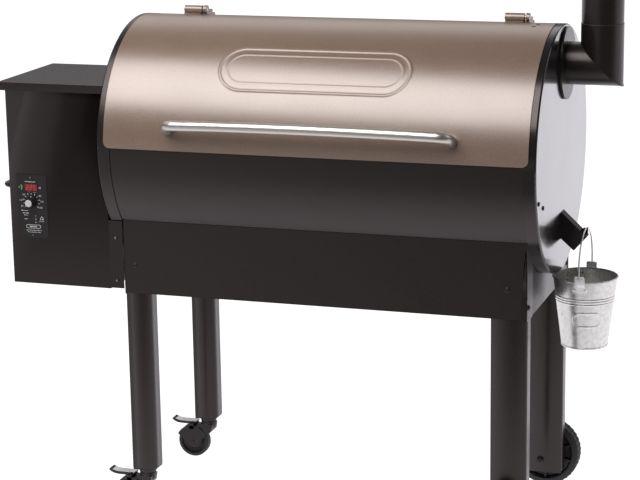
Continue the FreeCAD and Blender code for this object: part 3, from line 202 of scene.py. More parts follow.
# Each finish: its dark and light grain, (low, high) roughness, grain per metre, grain depth, and the rest.
COATINGS = {
    "bronze_coat": ((0.130, 0.077, 0.051), (0.170, 0.107, 0.075), (0.30, 0.36), 420, 0.000004,
                    dict(cloud=0.02, IOR=2.2, Specular_Tint=(1.0, 0.92, 0.88, 1))),
    "black_coat": ((0.0050, 0.0038, 0.0036), (0.0078, 0.0062, 0.0058), (0.28, 0.36), 380, 0.00002,
                   dict(cloud=0.02, IOR=1.5, Specular_Tint=WARM)),
    "cap_coat": ((0.0050, 0.0042, 0.0044), (0.0078, 0.0068, 0.0070), (0.16, 0.22), 330, 0.00001,
                 dict(cloud=0.02, IOR=1.5, Coat_Roughness=0.12, Specular_Tint=WARM)),
    "stainless": ((0.50, 0.47, 0.44), (0.60, 0.57, 0.53), (0.30, 0.40), 1500, 0.000006,
                  dict(stretch=(0.02, 1, 1), cloud=0.02, Metallic=1.0)),
    "galvanised": ((0.60, 0.59, 0.575), (0.74, 0.73, 0.71), (0.26, 0.36), 120, 0.000006,
                   dict(cloud=0.03, Metallic=0.85)),
    "black_bolt": ((0.010, 0.009, 0.009), (0.022, 0.020, 0.019), (0.30, 0.42), 600, 0.00002,
                   dict(Metallic=0.4)),
    "black_plastic": ((0.0065, 0.0062, 0.0066), (0.0105, 0.0100, 0.0108), (0.40, 0.54), 900, 0.00004,
                      dict(IOR=1.46, Specular_Tint=WARM)),
    "tyre": ((0.0085, 0.0080, 0.0082), (0.0150, 0.0142, 0.0144), (0.55, 0.72), 500, 0.00006,
             dict(IOR=1.5)),
    "bright_steel": ((0.46, 0.455, 0.45), (0.60, 0.595, 0.59), (0.26, 0.38), 300, 0.00002,
                     dict(Metallic=1.0)),
    "bright_zinc": ((0.80, 0.80, 0.79), (0.90, 0.90, 0.89), (0.26, 0.36), 300, 0.00001,
                    dict(Metallic=0.5)),
    "enamel": ((0.020, 0.020, 0.023), (0.050, 0.050, 0.054), (0.20, 0.32), 260, 0.00005, dict(IOR=1.55)),
    "tray_steel": ((0.040, 0.038, 0.036), (0.075, 0.070, 0.066), (0.40, 0.55), 120, 0.00004,
                   dict(Metallic=0.5)),
    "gasket": ((0.012, 0.012, 0.012), (0.040, 0.038, 0.036), (0.75, 0.90), 800, 0.0003, dict()),
    "fascia": ((0.0060, 0.0060, 0.0068), (0.0095, 0.0095, 0.0105), (0.30, 0.38), 700, 0.00002,
               dict(IOR=1.48, Specular_Tint=WARM)),
    "print_white": ((0.42, 0.42, 0.42), (0.55, 0.55, 0.55), (0.5, 0.6), 900, 0.00001, dict()),
    "display_red": ((0.10, 0.004, 0.003), (0.16, 0.006, 0.004), (0.10, 0.14), 500, 0.00001,
                    dict(cloud=0.01)),
    "lamp_green": ((0.01, 0.10, 0.04), (0.02, 0.14, 0.05), (0.15, 0.20), 500, 0.00001, dict()),
    "segment_red": ((0.36, 0.04, 0.03), (0.44, 0.06, 0.04), (0.3, 0.4), 500, 0.00001, dict()),
}
looks = {name: coating(name, *numbers, **more) for name, (*numbers, more) in COATINGS.items()}
GLOWS = (("display_red", (0.9, 0.05, 0.04), 0.07), ("segment_red", (1.0, 0.12, 0.10), 0.10),
         ("lamp_green", (0.05, 0.9, 0.35), 0.10))
for name, color, strength in GLOWS:
    glow = looks[name].node_tree.nodes["Principled BSDF"]
    glow.inputs["Emission Color"].default_value = (*color, 1)
    glow.inputs["Emission Strength"].default_value = strength


def coat_ends(tree):
    """Gives a finish a clear coat only where its faces look along the barrel's axis."""
    facing = parts_of(tree, "ShaderNodeNewGeometry", "Normal")["X"]
    shader = tree.nodes["Principled BSDF"]
    links(tree, (spread(tree, facing, 0.0, COAT_WEIGHT, 0.3, 0.8), shader.inputs["Coat Weight"]))


coat_ends(looks["cap_coat"].node_tree)

GLOSSY = ("right_end_cap", "grease_spout")
for node, obj in frame["nodes"].items():
    obj.data.materials.clear()
    obj.data.materials.append(looks["cap_coat" if node in GLOSSY else slots[node]])


# ---------------------------------------------------------------- building pieces

def grid_faces(rows, columns, rows_join=False, columns_join=False):
    """The faces between rows of points; the sheet closes on itself the ways that join."""
    faces = []
    for row in range(rows if rows_join else rows - 1):
        here, there = row * columns, (row + 1) % rows * columns
        for column in range(columns if columns_join else columns - 1):
            after = (column + 1) % columns
            faces.append((here + column, here + after, there + after, there + column))
    return faces


def prism_faces(count):
    """The ends and sides of a prism whose points are one outline and then the other."""
    ends = [list(range(count))[::-1], list(range(count, 2 * count))]
    return ends + grid_faces(2, count, columns_join=True)


def flip(profile, sign):
    """A profile of (radius, run), turned to run the other way if sign is -1."""
    return [(radius, sign * run) for radius, run in profile]


def mirrored(profile):
    """A profile of (radius, run) and then its mirror image, for the two sides of a wheel."""
    return profile + flip(reversed(profile), -1)


def middle_of(node):
    """The (x, y) middle of a CAD node's box."""
    low, high = span(node)
    return (low.x + high.x) / 2, (low.y + high.y) / 2


class Shape:
    """A mesh being built, in millimetres about the barrel's middle."""

    def __init__(self):
        self.bm = bmesh.new()

    def add(self, points, faces, radius=0.0, segments=3, wanted=None):
        """Points and faces; sharp edges for which wanted(edge) holds are rounded to the radius."""
        verts = [self.bm.verts.new(point) for point in points]
        made = [self.bm.faces.new([verts[index] for index in face]) for face in faces]
        if radius > 0:
            edges = {edge for face in made for edge in face.edges
                     if len(edge.link_faces) == 2 and edge.calc_face_angle(0) > math.radians(30)}
            if wanted:
                edges = {edge for edge in edges if wanted(edge)}
            bmesh.ops.recalc_face_normals(self.bm, faces=made)
            bmesh.ops.bevel(self.bm, geom=list(edges), offset=radius, offset_type="OFFSET",
                            segments=segments, profile=0.5, affect="EDGES", clamp_overlap=True)

    def box(self, low, high, radius=0.6, segments=3, wanted=None, without=()):
        """A box between two corners; without names faces to leave out, such as "+Z"."""
        xs, ys, zs = zip(low, high)
        corners = [(x, y, z) for x in xs for y in ys for z in zs]
        sides = {"-X": (0, 1, 3, 2), "+X": (4, 6, 7, 5), "-Y": (0, 4, 5, 1), "+Y": (2, 3, 7, 6),
                 "-Z": (0, 2, 6, 4), "+Z": (1, 5, 7, 3)}
        faces = [face for key, face in sides.items() if key not in without]
        self.add(corners, faces, radius, segments, wanted)

    def prism(self, axis, outline, low, high, radius=0.5, segments=2):
        """An outline of the two coordinates that follow the axis, in turn, run from low to high."""
        a, b, c = AXES[axis]
        points = []
        for run in (low, high):
            for first, second in outline:
                point = [0, 0, 0]
                point[a], point[b], point[c] = first, second, run
                points.append(point)
        self.add(points, prism_faces(len(outline)), radius, segments)

    def lathe(self, axis, centre, profile, steps=64, closed=True, flutes=None):
        """A profile of (radius, run) turned about an axis through the centre.

        closed joins the profile's end to its start; flutes is (count, depth, radius where they begin).
        """
        a, b, c = AXES[axis]
        points = []
        for step in range(steps):
            turn = 2 * math.pi * step / steps
            for radius, run in profile:
                if flutes and radius >= flutes[2]:
                    radius -= flutes[1] * (0.5 + 0.5 * math.cos(flutes[0] * turn))
                point = [0, 0, 0]
                point[a] = centre[a] + radius * math.cos(turn)
                point[b] = centre[b] + radius * math.sin(turn)
                point[c] = centre[c] + run
                points.append(point)
        self.add(points, grid_faces(steps, len(profile), True, closed))

    def rod(self, axis, centre, radius, start, end, steps=32):
        """A round bar about an axis through the centre."""
        profile = [(0, start), (radius, start), (radius, end), (0, end)]
        self.lathe(axis, centre, profile, steps, closed=False)

    def tube(self, path, radius, steps=20, closed=False):
        """A round bar along a path."""
        path = [Vector(point) for point in path]
        count = len(path)
        points = []
        side = None
        for index, point in enumerate(path):
            before = path[index - 1] if index or closed else point
            after = path[(index + 1) % count] if index < count - 1 or closed else point
            forward = (after - before).normalized()
            if side is None:
                side = forward.orthogonal().normalized()
            side = (side - forward * side.dot(forward)).normalized()
            other = forward.cross(side)
            for step in range(steps):
                turn = 2 * math.pi * step / steps
                points.append(point + (side * math.cos(turn) + other * math.sin(turn)) * radius)
        faces = grid_faces(count, steps, closed, True)
        if not closed:
            faces += [list(range(steps))[::-1], list(range((count - 1) * steps, count * steps))]
        self.add(points, faces)

    def ring(self, axis, centre, radius, wire, steps=64):
        """A round wire bent to a circle about an axis."""
        sides = 10
        turns = [2 * math.pi * side / sides for side in range(sides)]
        profile = [(radius + wire * math.cos(turn), wire * math.sin(turn)) for turn in turns]
        self.lathe(axis, centre, profile, steps)

    def round_folds(self, radius):
        """Rounds every edge that joins two faces of a sheet."""
        folds = [edge for edge in self.bm.edges if len(edge.link_faces) == 2]
        bmesh.ops.bevel(self.bm, geom=folds, offset=radius, offset_type="OFFSET", segments=4, profile=0.5,
                        affect="EDGES")

    def finish(self, name, node, look=None, wall=0.0, stands_for=(), smooth=35):
        """Turn it into a piece that rides where a CAD node rides; wall thickens a sheet inwards."""
        bmesh.ops.remove_doubles(self.bm, verts=self.bm.verts, dist=0.002)
        bmesh.ops.recalc_face_normals(self.bm, faces=self.bm.faces)
        for vert in self.bm.verts:
            vert.co = at(*vert.co)
        mesh = bpy.data.meshes.new(name)
        self.bm.to_mesh(mesh)
        self.bm.free()
        mesh.shade_smooth()
        mesh.set_sharp_from_angle(angle=math.radians(smooth))
        mesh.materials.append(looks[look or slots[node]])
        obj = bpy.data.objects.new(name, mesh)
        bpy.context.scene.collection.objects.link(obj)
        if wall:
            solid = obj.modifiers.new("wall", "SOLIDIFY")
            solid.thickness = wall * MM
            solid.offset = -1
            solid.use_even_offset = True
        weighted = obj.modifiers.new("flat faces", "WEIGHTED_NORMAL")
        weighted.keep_sharp = True
        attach(obj, body_of(frame["nodes"][node])[0])
        if stands_for:
            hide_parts(*stands_for)


def bent_path(points, bends, step):
    """Points along straight runs joined by tangent arcs; each inner point has its bend radius."""
    points = [Vector(point) for point in points]
    path = [points[0]]
    for before, corner, after, bend in zip(points, points[1:], points[2:], bends):
        inward = (before - corner).normalized()
        outward = (after - corner).normalized()
        half = inward.angle(outward) / 2
        middle = (inward + outward).normalized()
        centre = corner + middle * (bend / math.sin(half))
        reach = bend / math.tan(half)
        first, last = corner + inward * reach, corner + outward * reach
        count = max(6, round(bend * (math.pi - 2 * half) / step))
        for index in range(count + 1):
            chord = first.lerp(last, index / count) - centre
            path.append(centre + chord.normalized() * bend)
    return path + [points[-1]]


def arc(centre, radius, start, end, steps):
    """Points (first, second) on a circle, between two angles in degrees."""
    angles = [math.radians(start + (end - start) * step / steps) for step in range(steps + 1)]
    return [(centre[0] + radius * math.cos(angle), centre[1] + radius * math.sin(angle)) for angle in angles]


def steps_between(low, high, step):
    """Evenly spaced numbers from low up to, but not including, high."""
    count = max(1, round((high - low) / step))
    return [low + (high - low) * index / count for index in range(count)]


def swell(distance, half_width):
    """The height of a smooth bump: 1 at its middle and 0 from its edge outwards."""
    if distance >= half_width:
        return 0.0
    return 0.5 + 0.5 * math.cos(math.pi * distance / half_width)


def oval_distance(across, up, half_length, half_height):
    """How far a place, measured from an oval's middle, is from the oval's outline."""
    beyond = max(abs(across) - (half_length - half_height), 0)
    return abs(math.hypot(beyond, up) - half_height)


# ---------------------------------------------------------------- lid

LID_RADIUS = 260.4
LID_WALL = 1.4
LID_HALF = 452.0
LID_LOW, LID_HIGH = 2.0, 90.0
LID_CORNER = 14.0
BEAD_HEIGHT = 1.3
BEAD_HALF_WIDTH = 4.2
FRAME_X, FRAME_ARC = -8, 194
FRAME_OVALS = ((204, 52, 1.0), (188, 36, 0.55))
FINE_XS, FINE_ROWS = (-220, 205), (136, 252)
FINE_STEP = 1.8


def bead_rise(x, arc_length):
    """How far the pressed oval frame lifts the lid's skin at a place on it."""
    rise = 0.0
    for half_length, half_height, strength in FRAME_OVALS:
        distance = oval_distance(x - FRAME_X, arc_length - FRAME_ARC, half_length, half_height)
        rise = max(rise, strength * BEAD_HEIGHT * swell(distance, BEAD_HALF_WIDTH))
    return rise


def build_lid():
    """The lid's rolled sheet, with rounded lower corners and a pressed oval frame."""
    arc_per_degree = math.radians(1) * LID_RADIUS
    low, high = LID_LOW * arc_per_degree, LID_HIGH * arc_per_degree
    edge = [0, 0.5, 1.5, 3, 5, 8, 11]
    xs = [-LID_HALF + step for step in edge] + steps_between(-LID_HALF + LID_CORNER, FINE_XS[0], 14)
    xs += steps_between(*FINE_XS, FINE_STEP) + steps_between(FINE_XS[1], LID_HALF - LID_CORNER, 14)
    xs += [LID_HALF - LID_CORNER] + [LID_HALF - step for step in reversed(edge)]
    rows = [low + step for step in edge] + steps_between(low + LID_CORNER, FINE_ROWS[0], 5)
    rows += steps_between(*FINE_ROWS, FINE_STEP) + steps_between(FINE_ROWS[1], high, 6) + [high]
    points = []
    for row in rows:
        inset = LID_CORNER - (row - low)
        half = LID_HALF
        if inset > 0:
            half = LID_HALF - LID_CORNER + math.sqrt(max(LID_CORNER ** 2 - inset ** 2, 0))
        turn = math.radians(row / arc_per_degree)
        for x in xs:
            x = max(-half, min(half, x))
            radius = LID_RADIUS + bead_rise(x, row)
            points.append((x, -radius * math.cos(turn), radius * math.sin(turn)))
    shape = Shape()
    shape.add(points, grid_faces(len(rows), len(xs)))
    bmesh.ops.dissolve_degenerate(shape.bm, edges=shape.bm.edges, dist=0.01)
    shape.finish("lid_skin", "lid_shell", wall=LID_WALL, stands_for=("lid_shell",), smooth=60)


# ---------------------------------------------------------------- skirt and legs

SKIRT_TOP_RADIUS = 256.8 + 0.5
FOLD = 3
UPRIGHT_LENGTH = 50
BOLT_RADIUS, BOLT_HEAD = 6.5, 3.2
SKIRT_BOLT_XS, SKIRT_BOLT_Z = (-415, 399), -255
END_BOLT_X, END_BOLT_Z = 440, -292
END_BOLTS = ((-190, 0), (197.5, 1.5))


def barrel_drop(y):
    """The height of a sheet's edge just clear of the barrel's underside, over a place on the Y axis."""
    return -math.sqrt(SKIRT_TOP_RADIUS ** 2 - y ** 2)


def build_skirt():
    """The front skirt's sheet, whose folded ends follow the barrel's underside."""
    low, high = span("skirt_front")
    front, back = low.y, high.y
    bottom, foot = low.z, low.z + FOLD
    shape = Shape()
    curve = [(y, barrel_drop(y)) for y in (front + (back - front) * step / 10 for step in range(11))]
    for x in (low.x, high.x):
        outline = [(x, y, z) for y, z in curve]
        outline += [(x, back, bottom), (x, front + FOLD, bottom), (x, front, foot)]
        shape.add(outline, [range(len(outline))])
    top = barrel_drop(front)
    shape.add([(low.x, front, foot), (high.x, front, foot), (high.x, front, top), (low.x, front, top)],
              [(0, 1, 2, 3)])
    bmesh.ops.remove_doubles(shape.bm, verts=shape.bm.verts, dist=0.01)
    shape.round_folds(FOLD)
    shape.finish("skirt_front_sheet", "skirt_front", wall=1.5, stands_for=("skirt_front",))


def upright(edge):
    """Whether an edge runs up a leg."""
    first, second = edge.verts
    return abs(first.co.z - second.co.z) > UPRIGHT_LENGTH


def build_legs():
    """The four legs' formed tubes, open at both ends."""
    for node in ("leg_front_left", "leg_rear_left", "leg_front_right", "leg_rear_right"):
        low, high = span(node)
        shape = Shape()
        shape.box(low, high, 1.6, 3, upright, without=("-Z", "+Z"))
        shape.finish(node + "_tube", node, wall=1.8, stands_for=(node,))


def bolt(shape, axis, sign, centre, radius, height):
    """A domed head with a thin flange and a socket, on the axis' side given by sign."""
    shoulder, dome, socket = 0.9, radius * 0.78, radius * 0.3
    profile = [(0, -0.4), (radius, -0.4), (radius, 0.5), (radius * 0.93, shoulder)]
    for angle in (0, 20, 40, 58, 72):
        turn = math.radians(angle)
        profile.append((dome * math.cos(turn), shoulder + (height - shoulder) * math.sin(turn)))
    profile += [(socket, height), (socket, height * 0.6), (0, height * 0.6)]
    shape.lathe(axis, centre, flip(profile, sign), 32, closed=False)


def build_bolts():
    """The bolt heads on the skirt's front and back, and on its two ends."""
    low, high = span("frame_bolts")
    shape = Shape()
    for x in SKIRT_BOLT_XS:
        bolt(shape, "Y", -1, (x, low.y + BOLT_HEAD, SKIRT_BOLT_Z), BOLT_RADIUS, BOLT_HEAD)
        bolt(shape, "Y", 1, (x, high.y - BOLT_HEAD, SKIRT_BOLT_Z), BOLT_RADIUS, BOLT_HEAD)
    for y, inset in END_BOLTS:
        for sign in (-1, 1):
            bolt(shape, "X", sign, (sign * (END_BOLT_X - inset), y, END_BOLT_Z), BOLT_RADIUS, BOLT_HEAD)
    shape.finish("frame_bolt_heads", "frame_bolts", stands_for=("frame_bolts",))


# ---------------------------------------------------------------- hopper

HOPPER_BACK = 47.0
FLANGE_WIDTH, FLANGE_OVERHANG = 28.5, 2.6
CAP_GAP = 1.5
EAR_OUTLINE = [(46.5, 121), (56, 121), (56, 127), (54, 129.5), (46.5, 129.5)]
EAR_THICKNESS = 3
HOPPER_LID_DROP = 19
HOPPER_LID_BACK, HOPPER_LID_SIDE_BACK = 55, 40
HINGE_ROD = (52, 126)
CURL_LEFT, CURL_RIGHT = -685, -495.5


def build_hopper():
    """The hopper's open case, and the flange and two hinge ears fixed to it."""
    low, high = span("hopper_body")
    right = high.x - FLANGE_WIDTH
    front = low.y
    shape = Shape()
    shape.box((low.x, front, low.z), (right, HOPPER_BACK, high.z), 3.0, 4, without=("+Z",))
    shape.finish("hopper_case", "hopper_body", wall=1.2, stands_for=("hopper_body",))
    cap_low, cap_high = span("left_end_cap")
    flange_top = -math.sqrt(((cap_high.z - cap_low.z) / 2 + CAP_GAP) ** 2 - front ** 2)
    flange = Shape()
    flange.box((right - 4, front + 0.1, low.z + 2),
               (high.x + FLANGE_OVERHANG, front + 1.2, flange_top), 0.4, 2)
    for x in (low.x + 11, right - 22):
        flange.prism("X", EAR_OUTLINE, x, x + EAR_THICKNESS, 0.4)
    flange.finish("hopper_flange", "hopper_body")


def build_hopper_lid():
    """The hopper lid's sheet, folded down at the front and left, and its curl round the hinge rod."""
    low, high = span("hopper_lid")
    front, top, bottom = low.y, high.z, high.z - HOPPER_LID_DROP
    points = [(low.x, front, top), (high.x, front, top), (high.x, HOPPER_LID_BACK, top),
              (low.x, HOPPER_LID_BACK, top), (low.x, front, bottom), (high.x, front, bottom),
              (low.x, HOPPER_LID_SIDE_BACK, bottom), (low.x, HOPPER_LID_SIDE_BACK, top)]
    shape = Shape()
    shape.add(points, [(0, 1, 2, 3, 7), (0, 4, 5, 1), (0, 7, 6, 4)])
    shape.round_folds(2.5)
    shape.finish("hopper_lid_sheet", "hopper_lid", wall=1.5, stands_for=("hopper_lid",))
    curl = Shape()
    outline = arc(HINGE_ROD, 5, -250, 60, 20) + arc(HINGE_ROD, 3.1, 60, -250, 20)
    web = [(50.5, 130), (53.5, 130), (53.5, 133), (50.5, 133)]
    curl.prism("X", outline, CURL_LEFT, CURL_RIGHT, 0.3, 1)
    curl.prism("X", web, CURL_LEFT, CURL_RIGHT, 0)
    curl.finish("hopper_lid_curl", "hopper_lid")


# ---------------------------------------------------------------- lid fittings

HANDLE_FOOT_ANGLE = 11.6
HANDLE_TILT = 24
HANDLE_RADIUS = 11.0
HANDLE_ROOT_REACH = 1.5
HANDLE_END_REACH = 36
HANDLE_PEAK_REACH = 58
HANDLE_BEND = 26
HANDLE_BOW = 3500
SLOT_HALF_WIDTH = 3.0
LID_SLOTS = ((417, 420, 84.4), (411, 414, 81.2))


def build_handle():
    """The bowed stainless tube whose ends turn in to the lid."""
    low, high = span("lid_handle")
    left, right = low.x + HANDLE_RADIUS, high.x - HANDLE_RADIUS
    foot, tilt = math.radians(HANDLE_FOOT_ANGLE), math.radians(HANDLE_TILT)

    def point(x, reach):
        """A place on the handle's path, at a reach from the lid."""
        return (x, -LID_RADIUS * math.cos(foot) - reach * math.cos(tilt),
                LID_RADIUS * math.sin(foot) + reach * math.sin(tilt))

    corners = [point(left, HANDLE_ROOT_REACH), point(left, HANDLE_END_REACH),
               point((left + right) / 2, HANDLE_PEAK_REACH),
               point(right, HANDLE_END_REACH), point(right, HANDLE_ROOT_REACH)]
    shape = Shape()
    shape.tube(bent_path(corners, (HANDLE_BEND, HANDLE_BOW, HANDLE_BEND), 4.0), HANDLE_RADIUS, 40)
    shape.finish("lid_handle_tube", "lid_handle", stands_for=("lid_handle",), smooth=60)


def build_lid_slot_shade():
    """Two small slots near the lid's right end, each (left, right, angle round the lid), filled with dark
    pieces as painted shade.
    """
    # The slots are not cut through: a thin dark piece lies flush in each, painted shade for the shadowed
    # opening.
    shape = Shape()
    for left, right, angle in LID_SLOTS:
        ends = arc((left, 0), SLOT_HALF_WIDTH, 90, 270, 8) + arc((right, 0), SLOT_HALF_WIDTH, -90, 90, 8)
        outline = [(x, math.radians(angle) + along / LID_RADIUS) for x, along in ends]
        points = [(x, -radius * math.cos(turn), radius * math.sin(turn))
                  for radius in (LID_RADIUS - 0.3, LID_RADIUS + 0.2) for x, turn in outline]
        shape.add(points, prism_faces(len(outline)))
    shape.finish("lid_slot_painted_shade", "lid_shell", "gasket")


# ---------------------------------------------------------------- control panel

PANEL_LOW, PANEL_HIGH = span("control_panel")
PANEL_Y = PANEL_LOW.y
KNOB_LOW, KNOB_HIGH = span("control_knob")
DIAL_X = (KNOB_LOW.x + KNOB_HIGH.x) / 2
DIAL_Z = (KNOB_LOW.z + KNOB_HIGH.z) / 2
WINDOW_LOW, WINDOW_HIGH = span("display_window")
WINDOW_Z = (WINDOW_LOW.z + WINDOW_HIGH.z) / 2
GLASS_LEFT, GLASS_RIGHT = 2 * DIAL_X - WINDOW_HIGH.x, WINDOW_HIGH.x
LAMP_X = WINDOW_LOW.x + 2.5
PRINT_PROUD = 0.12
SEGMENTS = {"a": ((-1, 2), (1, 2)), "b": ((1, 0), (1, 2)), "c": ((1, -2), (1, 0)), "d": ((-1, -2), (1, -2)),
            "e": ((-1, -2), (-1, 0)), "f": ((-1, 0), (-1, 2)), "g": ((-1, 0), (1, 0))}
DIGITS = {"2": "abged", "5": "afgcd"}
DIGIT_PITCH = 8.2
SCALE_NUMBERS = ("80", "100", "120", "140", "160", "180", "200", "230")
BAR_WIDTHS, BAR_GAP = (3.4, 2.0, 4.4, 2.6, 1.6), 0.9
TITLE_ROW = (-664, -638, -83.5, 1.5)
PRINT_ROWS = ((-675, -659, -19.5, 1.3), (-672, -655, -25.0, 1.2), (-669, -660, -29.5, 1.2),
              (-669, -660, -38.0, 1.2), (-634, -621, -42, 1.0), (-665, -629, -62.5, 1.3),
              (-662, -632, -66.5, 1.0))
TIMER_X, TIMER_NUMBERS = -642, ((-31, "5"), (-38, "10"), (-45, "15"))
TRIANGLE = ((-632, -38), (-623, -38), (-627.5, -31))
BADGE_X, BADGE_DROP = -648, -54


def stroke(shape, start, end, width, face=PANEL_Y, proud=PRINT_PROUD):
    """A flat printed bar between two (x, z) places on a face that looks to -Y."""
    start, end = Vector(start), Vector(end)
    across = (end - start).normalized().orthogonal() * width / 2
    corners = [start - across, start + across, end + across, end - across]
    shape.prism("Y", [(corner.y, corner.x) for corner in corners], face - proud, face + 0.3, 0)


def outline_strokes(shape, outline, width):
    """Printed bars round a closed (x, z) outline."""
    for start, end in zip(outline, outline[1:] + outline[:1]):
        stroke(shape, start, end, width)


def dial_place(angle, reach_x, reach_z):
    """An (x, z) place about the dial's middle."""
    return DIAL_X + reach_x * math.cos(angle), DIAL_Z + reach_z * math.sin(angle)


def print_text(shape, words, x, z, size):
    """Flat numerals on the panel's face, centred on (x, z)."""
    curve = bpy.data.curves.new("numeral", "FONT")
    curve.body = words
    curve.size = size
    curve.extrude = PRINT_PROUD
    curve.align_x = "CENTER"
    curve.align_y = "CENTER"
    curve.resolution_u = 3
    text = bpy.data.objects.new("numeral", curve)
    mesh = bpy.data.meshes.new_from_object(text)
    shape.add([(x + vert.co.x, PANEL_Y - vert.co.z, z + vert.co.y) for vert in mesh.vertices],
              [tuple(face.vertices) for face in mesh.polygons])
    bpy.data.objects.remove(text)
    bpy.data.curves.remove(curve)
    bpy.data.meshes.remove(mesh)


def fine_print(shape, left, right, z, height):
    """A row of plain short bars, where a real panel has small words."""
    x, index = left, 0
    while x < right - 1.5:
        width = BAR_WIDTHS[index % len(BAR_WIDTHS)]
        stroke(shape, (x, z), (min(x + width, right), z), height)
        x += width + BAR_GAP
        index += 1


def stadium(x, z, half_length, half_height, steps=10):
    """The (x, z) outline of a bar with round ends."""
    reach = half_length - half_height
    right = arc((x + reach, z), half_height, -90, 90, steps)
    return right + arc((x - reach, z), half_height, 90, 270, steps)


def build_panel_print():
    """The dial's ticks and numbers, rows of fine print, and a few plain marks."""
    shape = Shape()
    for index in range(11):
        angle = math.radians(215 - 25 * index)
        inner, outer = 16.0, 19.5 if index % 2 else 21
        stroke(shape, dial_place(angle, inner, inner), dial_place(angle, outer, outer), 1.1)
    for index, words in enumerate(SCALE_NUMBERS):
        print_text(shape, words, *dial_place(math.radians(205 - 33.5 * index), 25, 23.5), 5.0)
    fine_print(shape, *TITLE_ROW)
    for left, right, drop, height in PRINT_ROWS:
        fine_print(shape, left, right, DIAL_Z + drop, height)
    for drop, words in TIMER_NUMBERS:
        print_text(shape, words, TIMER_X, DIAL_Z + drop, 4.4)
    outline_strokes(shape, [(x, DIAL_Z + drop) for x, drop in TRIANGLE], 1.1)
    badge_z = DIAL_Z + BADGE_DROP
    outline_strokes(shape, stadium(BADGE_X, badge_z, 17, 3.6), 1.0)
    stroke(shape, (BADGE_X - 9, badge_z), (BADGE_X + 8, badge_z), 2.0)
    shape.finish("panel_print", "control_panel", "print_white")


def build_fascia():
    """A thin face with round corners over the panel's plate, and the case behind it."""
    case_side, case_end, plate = 7, 13, 1.5
    low, high = PANEL_LOW, PANEL_HIGH
    shape = Shape()
    shape.box((low.x, PANEL_Y + 0.02, low.z), (high.x, PANEL_Y + plate, high.z), 0.45, 3)
    shape.box((low.x + case_side, PANEL_Y + plate, low.z + case_end),
              (high.x - case_side, high.y, high.z - case_end), 1.5, 3)
    shape.finish("panel_fascia", "control_panel", "fascia", stands_for=("control_panel",))


def build_display():
    """The display's raised frame, its glass and its lit digits."""
    wide = 1.6
    low_z, high_z = WINDOW_LOW.z, WINDOW_HIGH.z
    border = Shape()
    for x_low, x_high, z_low, z_high in (
            (GLASS_LEFT - wide, GLASS_RIGHT + wide, high_z, high_z + wide),
            (GLASS_LEFT - wide, GLASS_RIGHT + wide, low_z - wide, low_z),
            (GLASS_LEFT - wide, GLASS_LEFT, low_z, high_z),
            (GLASS_RIGHT, GLASS_RIGHT + wide, low_z, high_z)):
        border.box((x_low, PANEL_Y - 0.9, z_low), (x_high, PANEL_Y + 0.5, z_high), 0.3, 2)
    border.finish("display_frame", "control_panel", "black_plastic")
    glass_y = PANEL_Y - 0.3
    glass = Shape()
    glass.box((GLASS_LEFT, glass_y, low_z), (GLASS_RIGHT, PANEL_Y + 1, high_z), 0.2, 2)
    glass.finish("display_glass", "display_window", stands_for=("display_window",))
    digits = Shape()
    for index, name in enumerate("225"):
        x = DIAL_X + (index - 1) * DIGIT_PITCH
        for key in DIGITS[name]:
            ends = [(x + 2.1 * across, WINDOW_Z + 2.5 * up) for across, up in SEGMENTS[key]]
            stroke(digits, *ends, 1.15, glass_y, 0.1)
    digits.finish("display_digits", "display_window", "segment_red")


def build_lamp():
    """The small green lamp in its bezel, and the marks printed beside the display."""
    dome = [(0, -1.6), (1.2, -1.4), (2.0, -0.9), (2.4, -0.2), (2.4, 0.6), (0, 0.6)]
    lamp = Shape()
    lamp.lathe("Y", (LAMP_X, PANEL_Y, WINDOW_Z), dome, 24, closed=False)
    lamp.finish("panel_lamp", "display_window", "lamp_green")
    bezel = Shape()
    bezel.ring("Y", (LAMP_X, PANEL_Y - 0.2, WINDOW_Z), 3.0, 0.5, 32)
    bezel.finish("lamp_bezel", "control_panel", "black_plastic")
    marks = Shape()
    marks.ring("Y", (GLASS_RIGHT + 6.5, PANEL_Y, WINDOW_Z), 2.0, 0.45, 24)
    reach = 6.0
    for angle in (-40, -14, 14, 40):
        turns = [math.radians(angle - 12), math.radians(angle + 12)]
        ends = [(LAMP_X + reach * math.cos(turn), WINDOW_Z + reach * math.sin(turn)) for turn in turns]
        stroke(marks, *ends, 1.2)
    marks.finish("display_marks", "control_panel", "print_white")


def build_knob():
    """A fluted black knob with a bright disc on its end and a white pointer."""
    centre = (DIAL_X, PANEL_Y, DIAL_Z)
    reach = PANEL_Y - KNOB_LOW.y
    shape = Shape()
    profile = [(0, -0.5), (12.5, -0.5), (12.3, -2.0), (11.4, -3.0), (10.0, 2.4 - reach), (9.4, 1.4 - reach),
               (8.4, 0.9 - reach), (0, 0.9 - reach)]
    shape.lathe("Y", centre, profile, 144, closed=False, flutes=(18, 0.7, 9.2))
    shape.rod("Y", centre, 2.9, -0.6, 14)
    shape.finish("knob_body", "control_knob", "black_plastic", stands_for=("control_knob",))
    disc = Shape()
    face = [(0, 0.1), (3, 0.1), (6.4, 0.2), (7.5, 0.5), (7.9, 1.0), (7.9, 1.6), (0, 1.6)]
    disc.lathe("Y", centre, [(radius, run - reach) for radius, run in face], 64, closed=False)
    disc.finish("knob_disc", "control_knob", "print_white")
    pointer = Shape()
    side = [(PANEL_Y - 3.4, DIAL_Z + 11.0), (PANEL_Y - 0.7, DIAL_Z + 12.4), (PANEL_Y - 0.7, DIAL_Z + 12.9),
            (PANEL_Y - 3.4, DIAL_Z + 11.6)]
    pointer.prism("X", side, DIAL_X - 0.7, DIAL_X + 0.7, 0)
    pointer.finish("knob_pointer", "control_knob", "print_white")


# ---------------------------------------------------------------- small screws

CAP_SCREWS = ((-232, -68), (-190, -85))
LEFT_CAP_SCREW = (-150, -60)
FLANGE_SCREW_X, FLANGE_SCREW_ZS = -456, (-196, -290)
PANEL_SCREW_INSET = 6


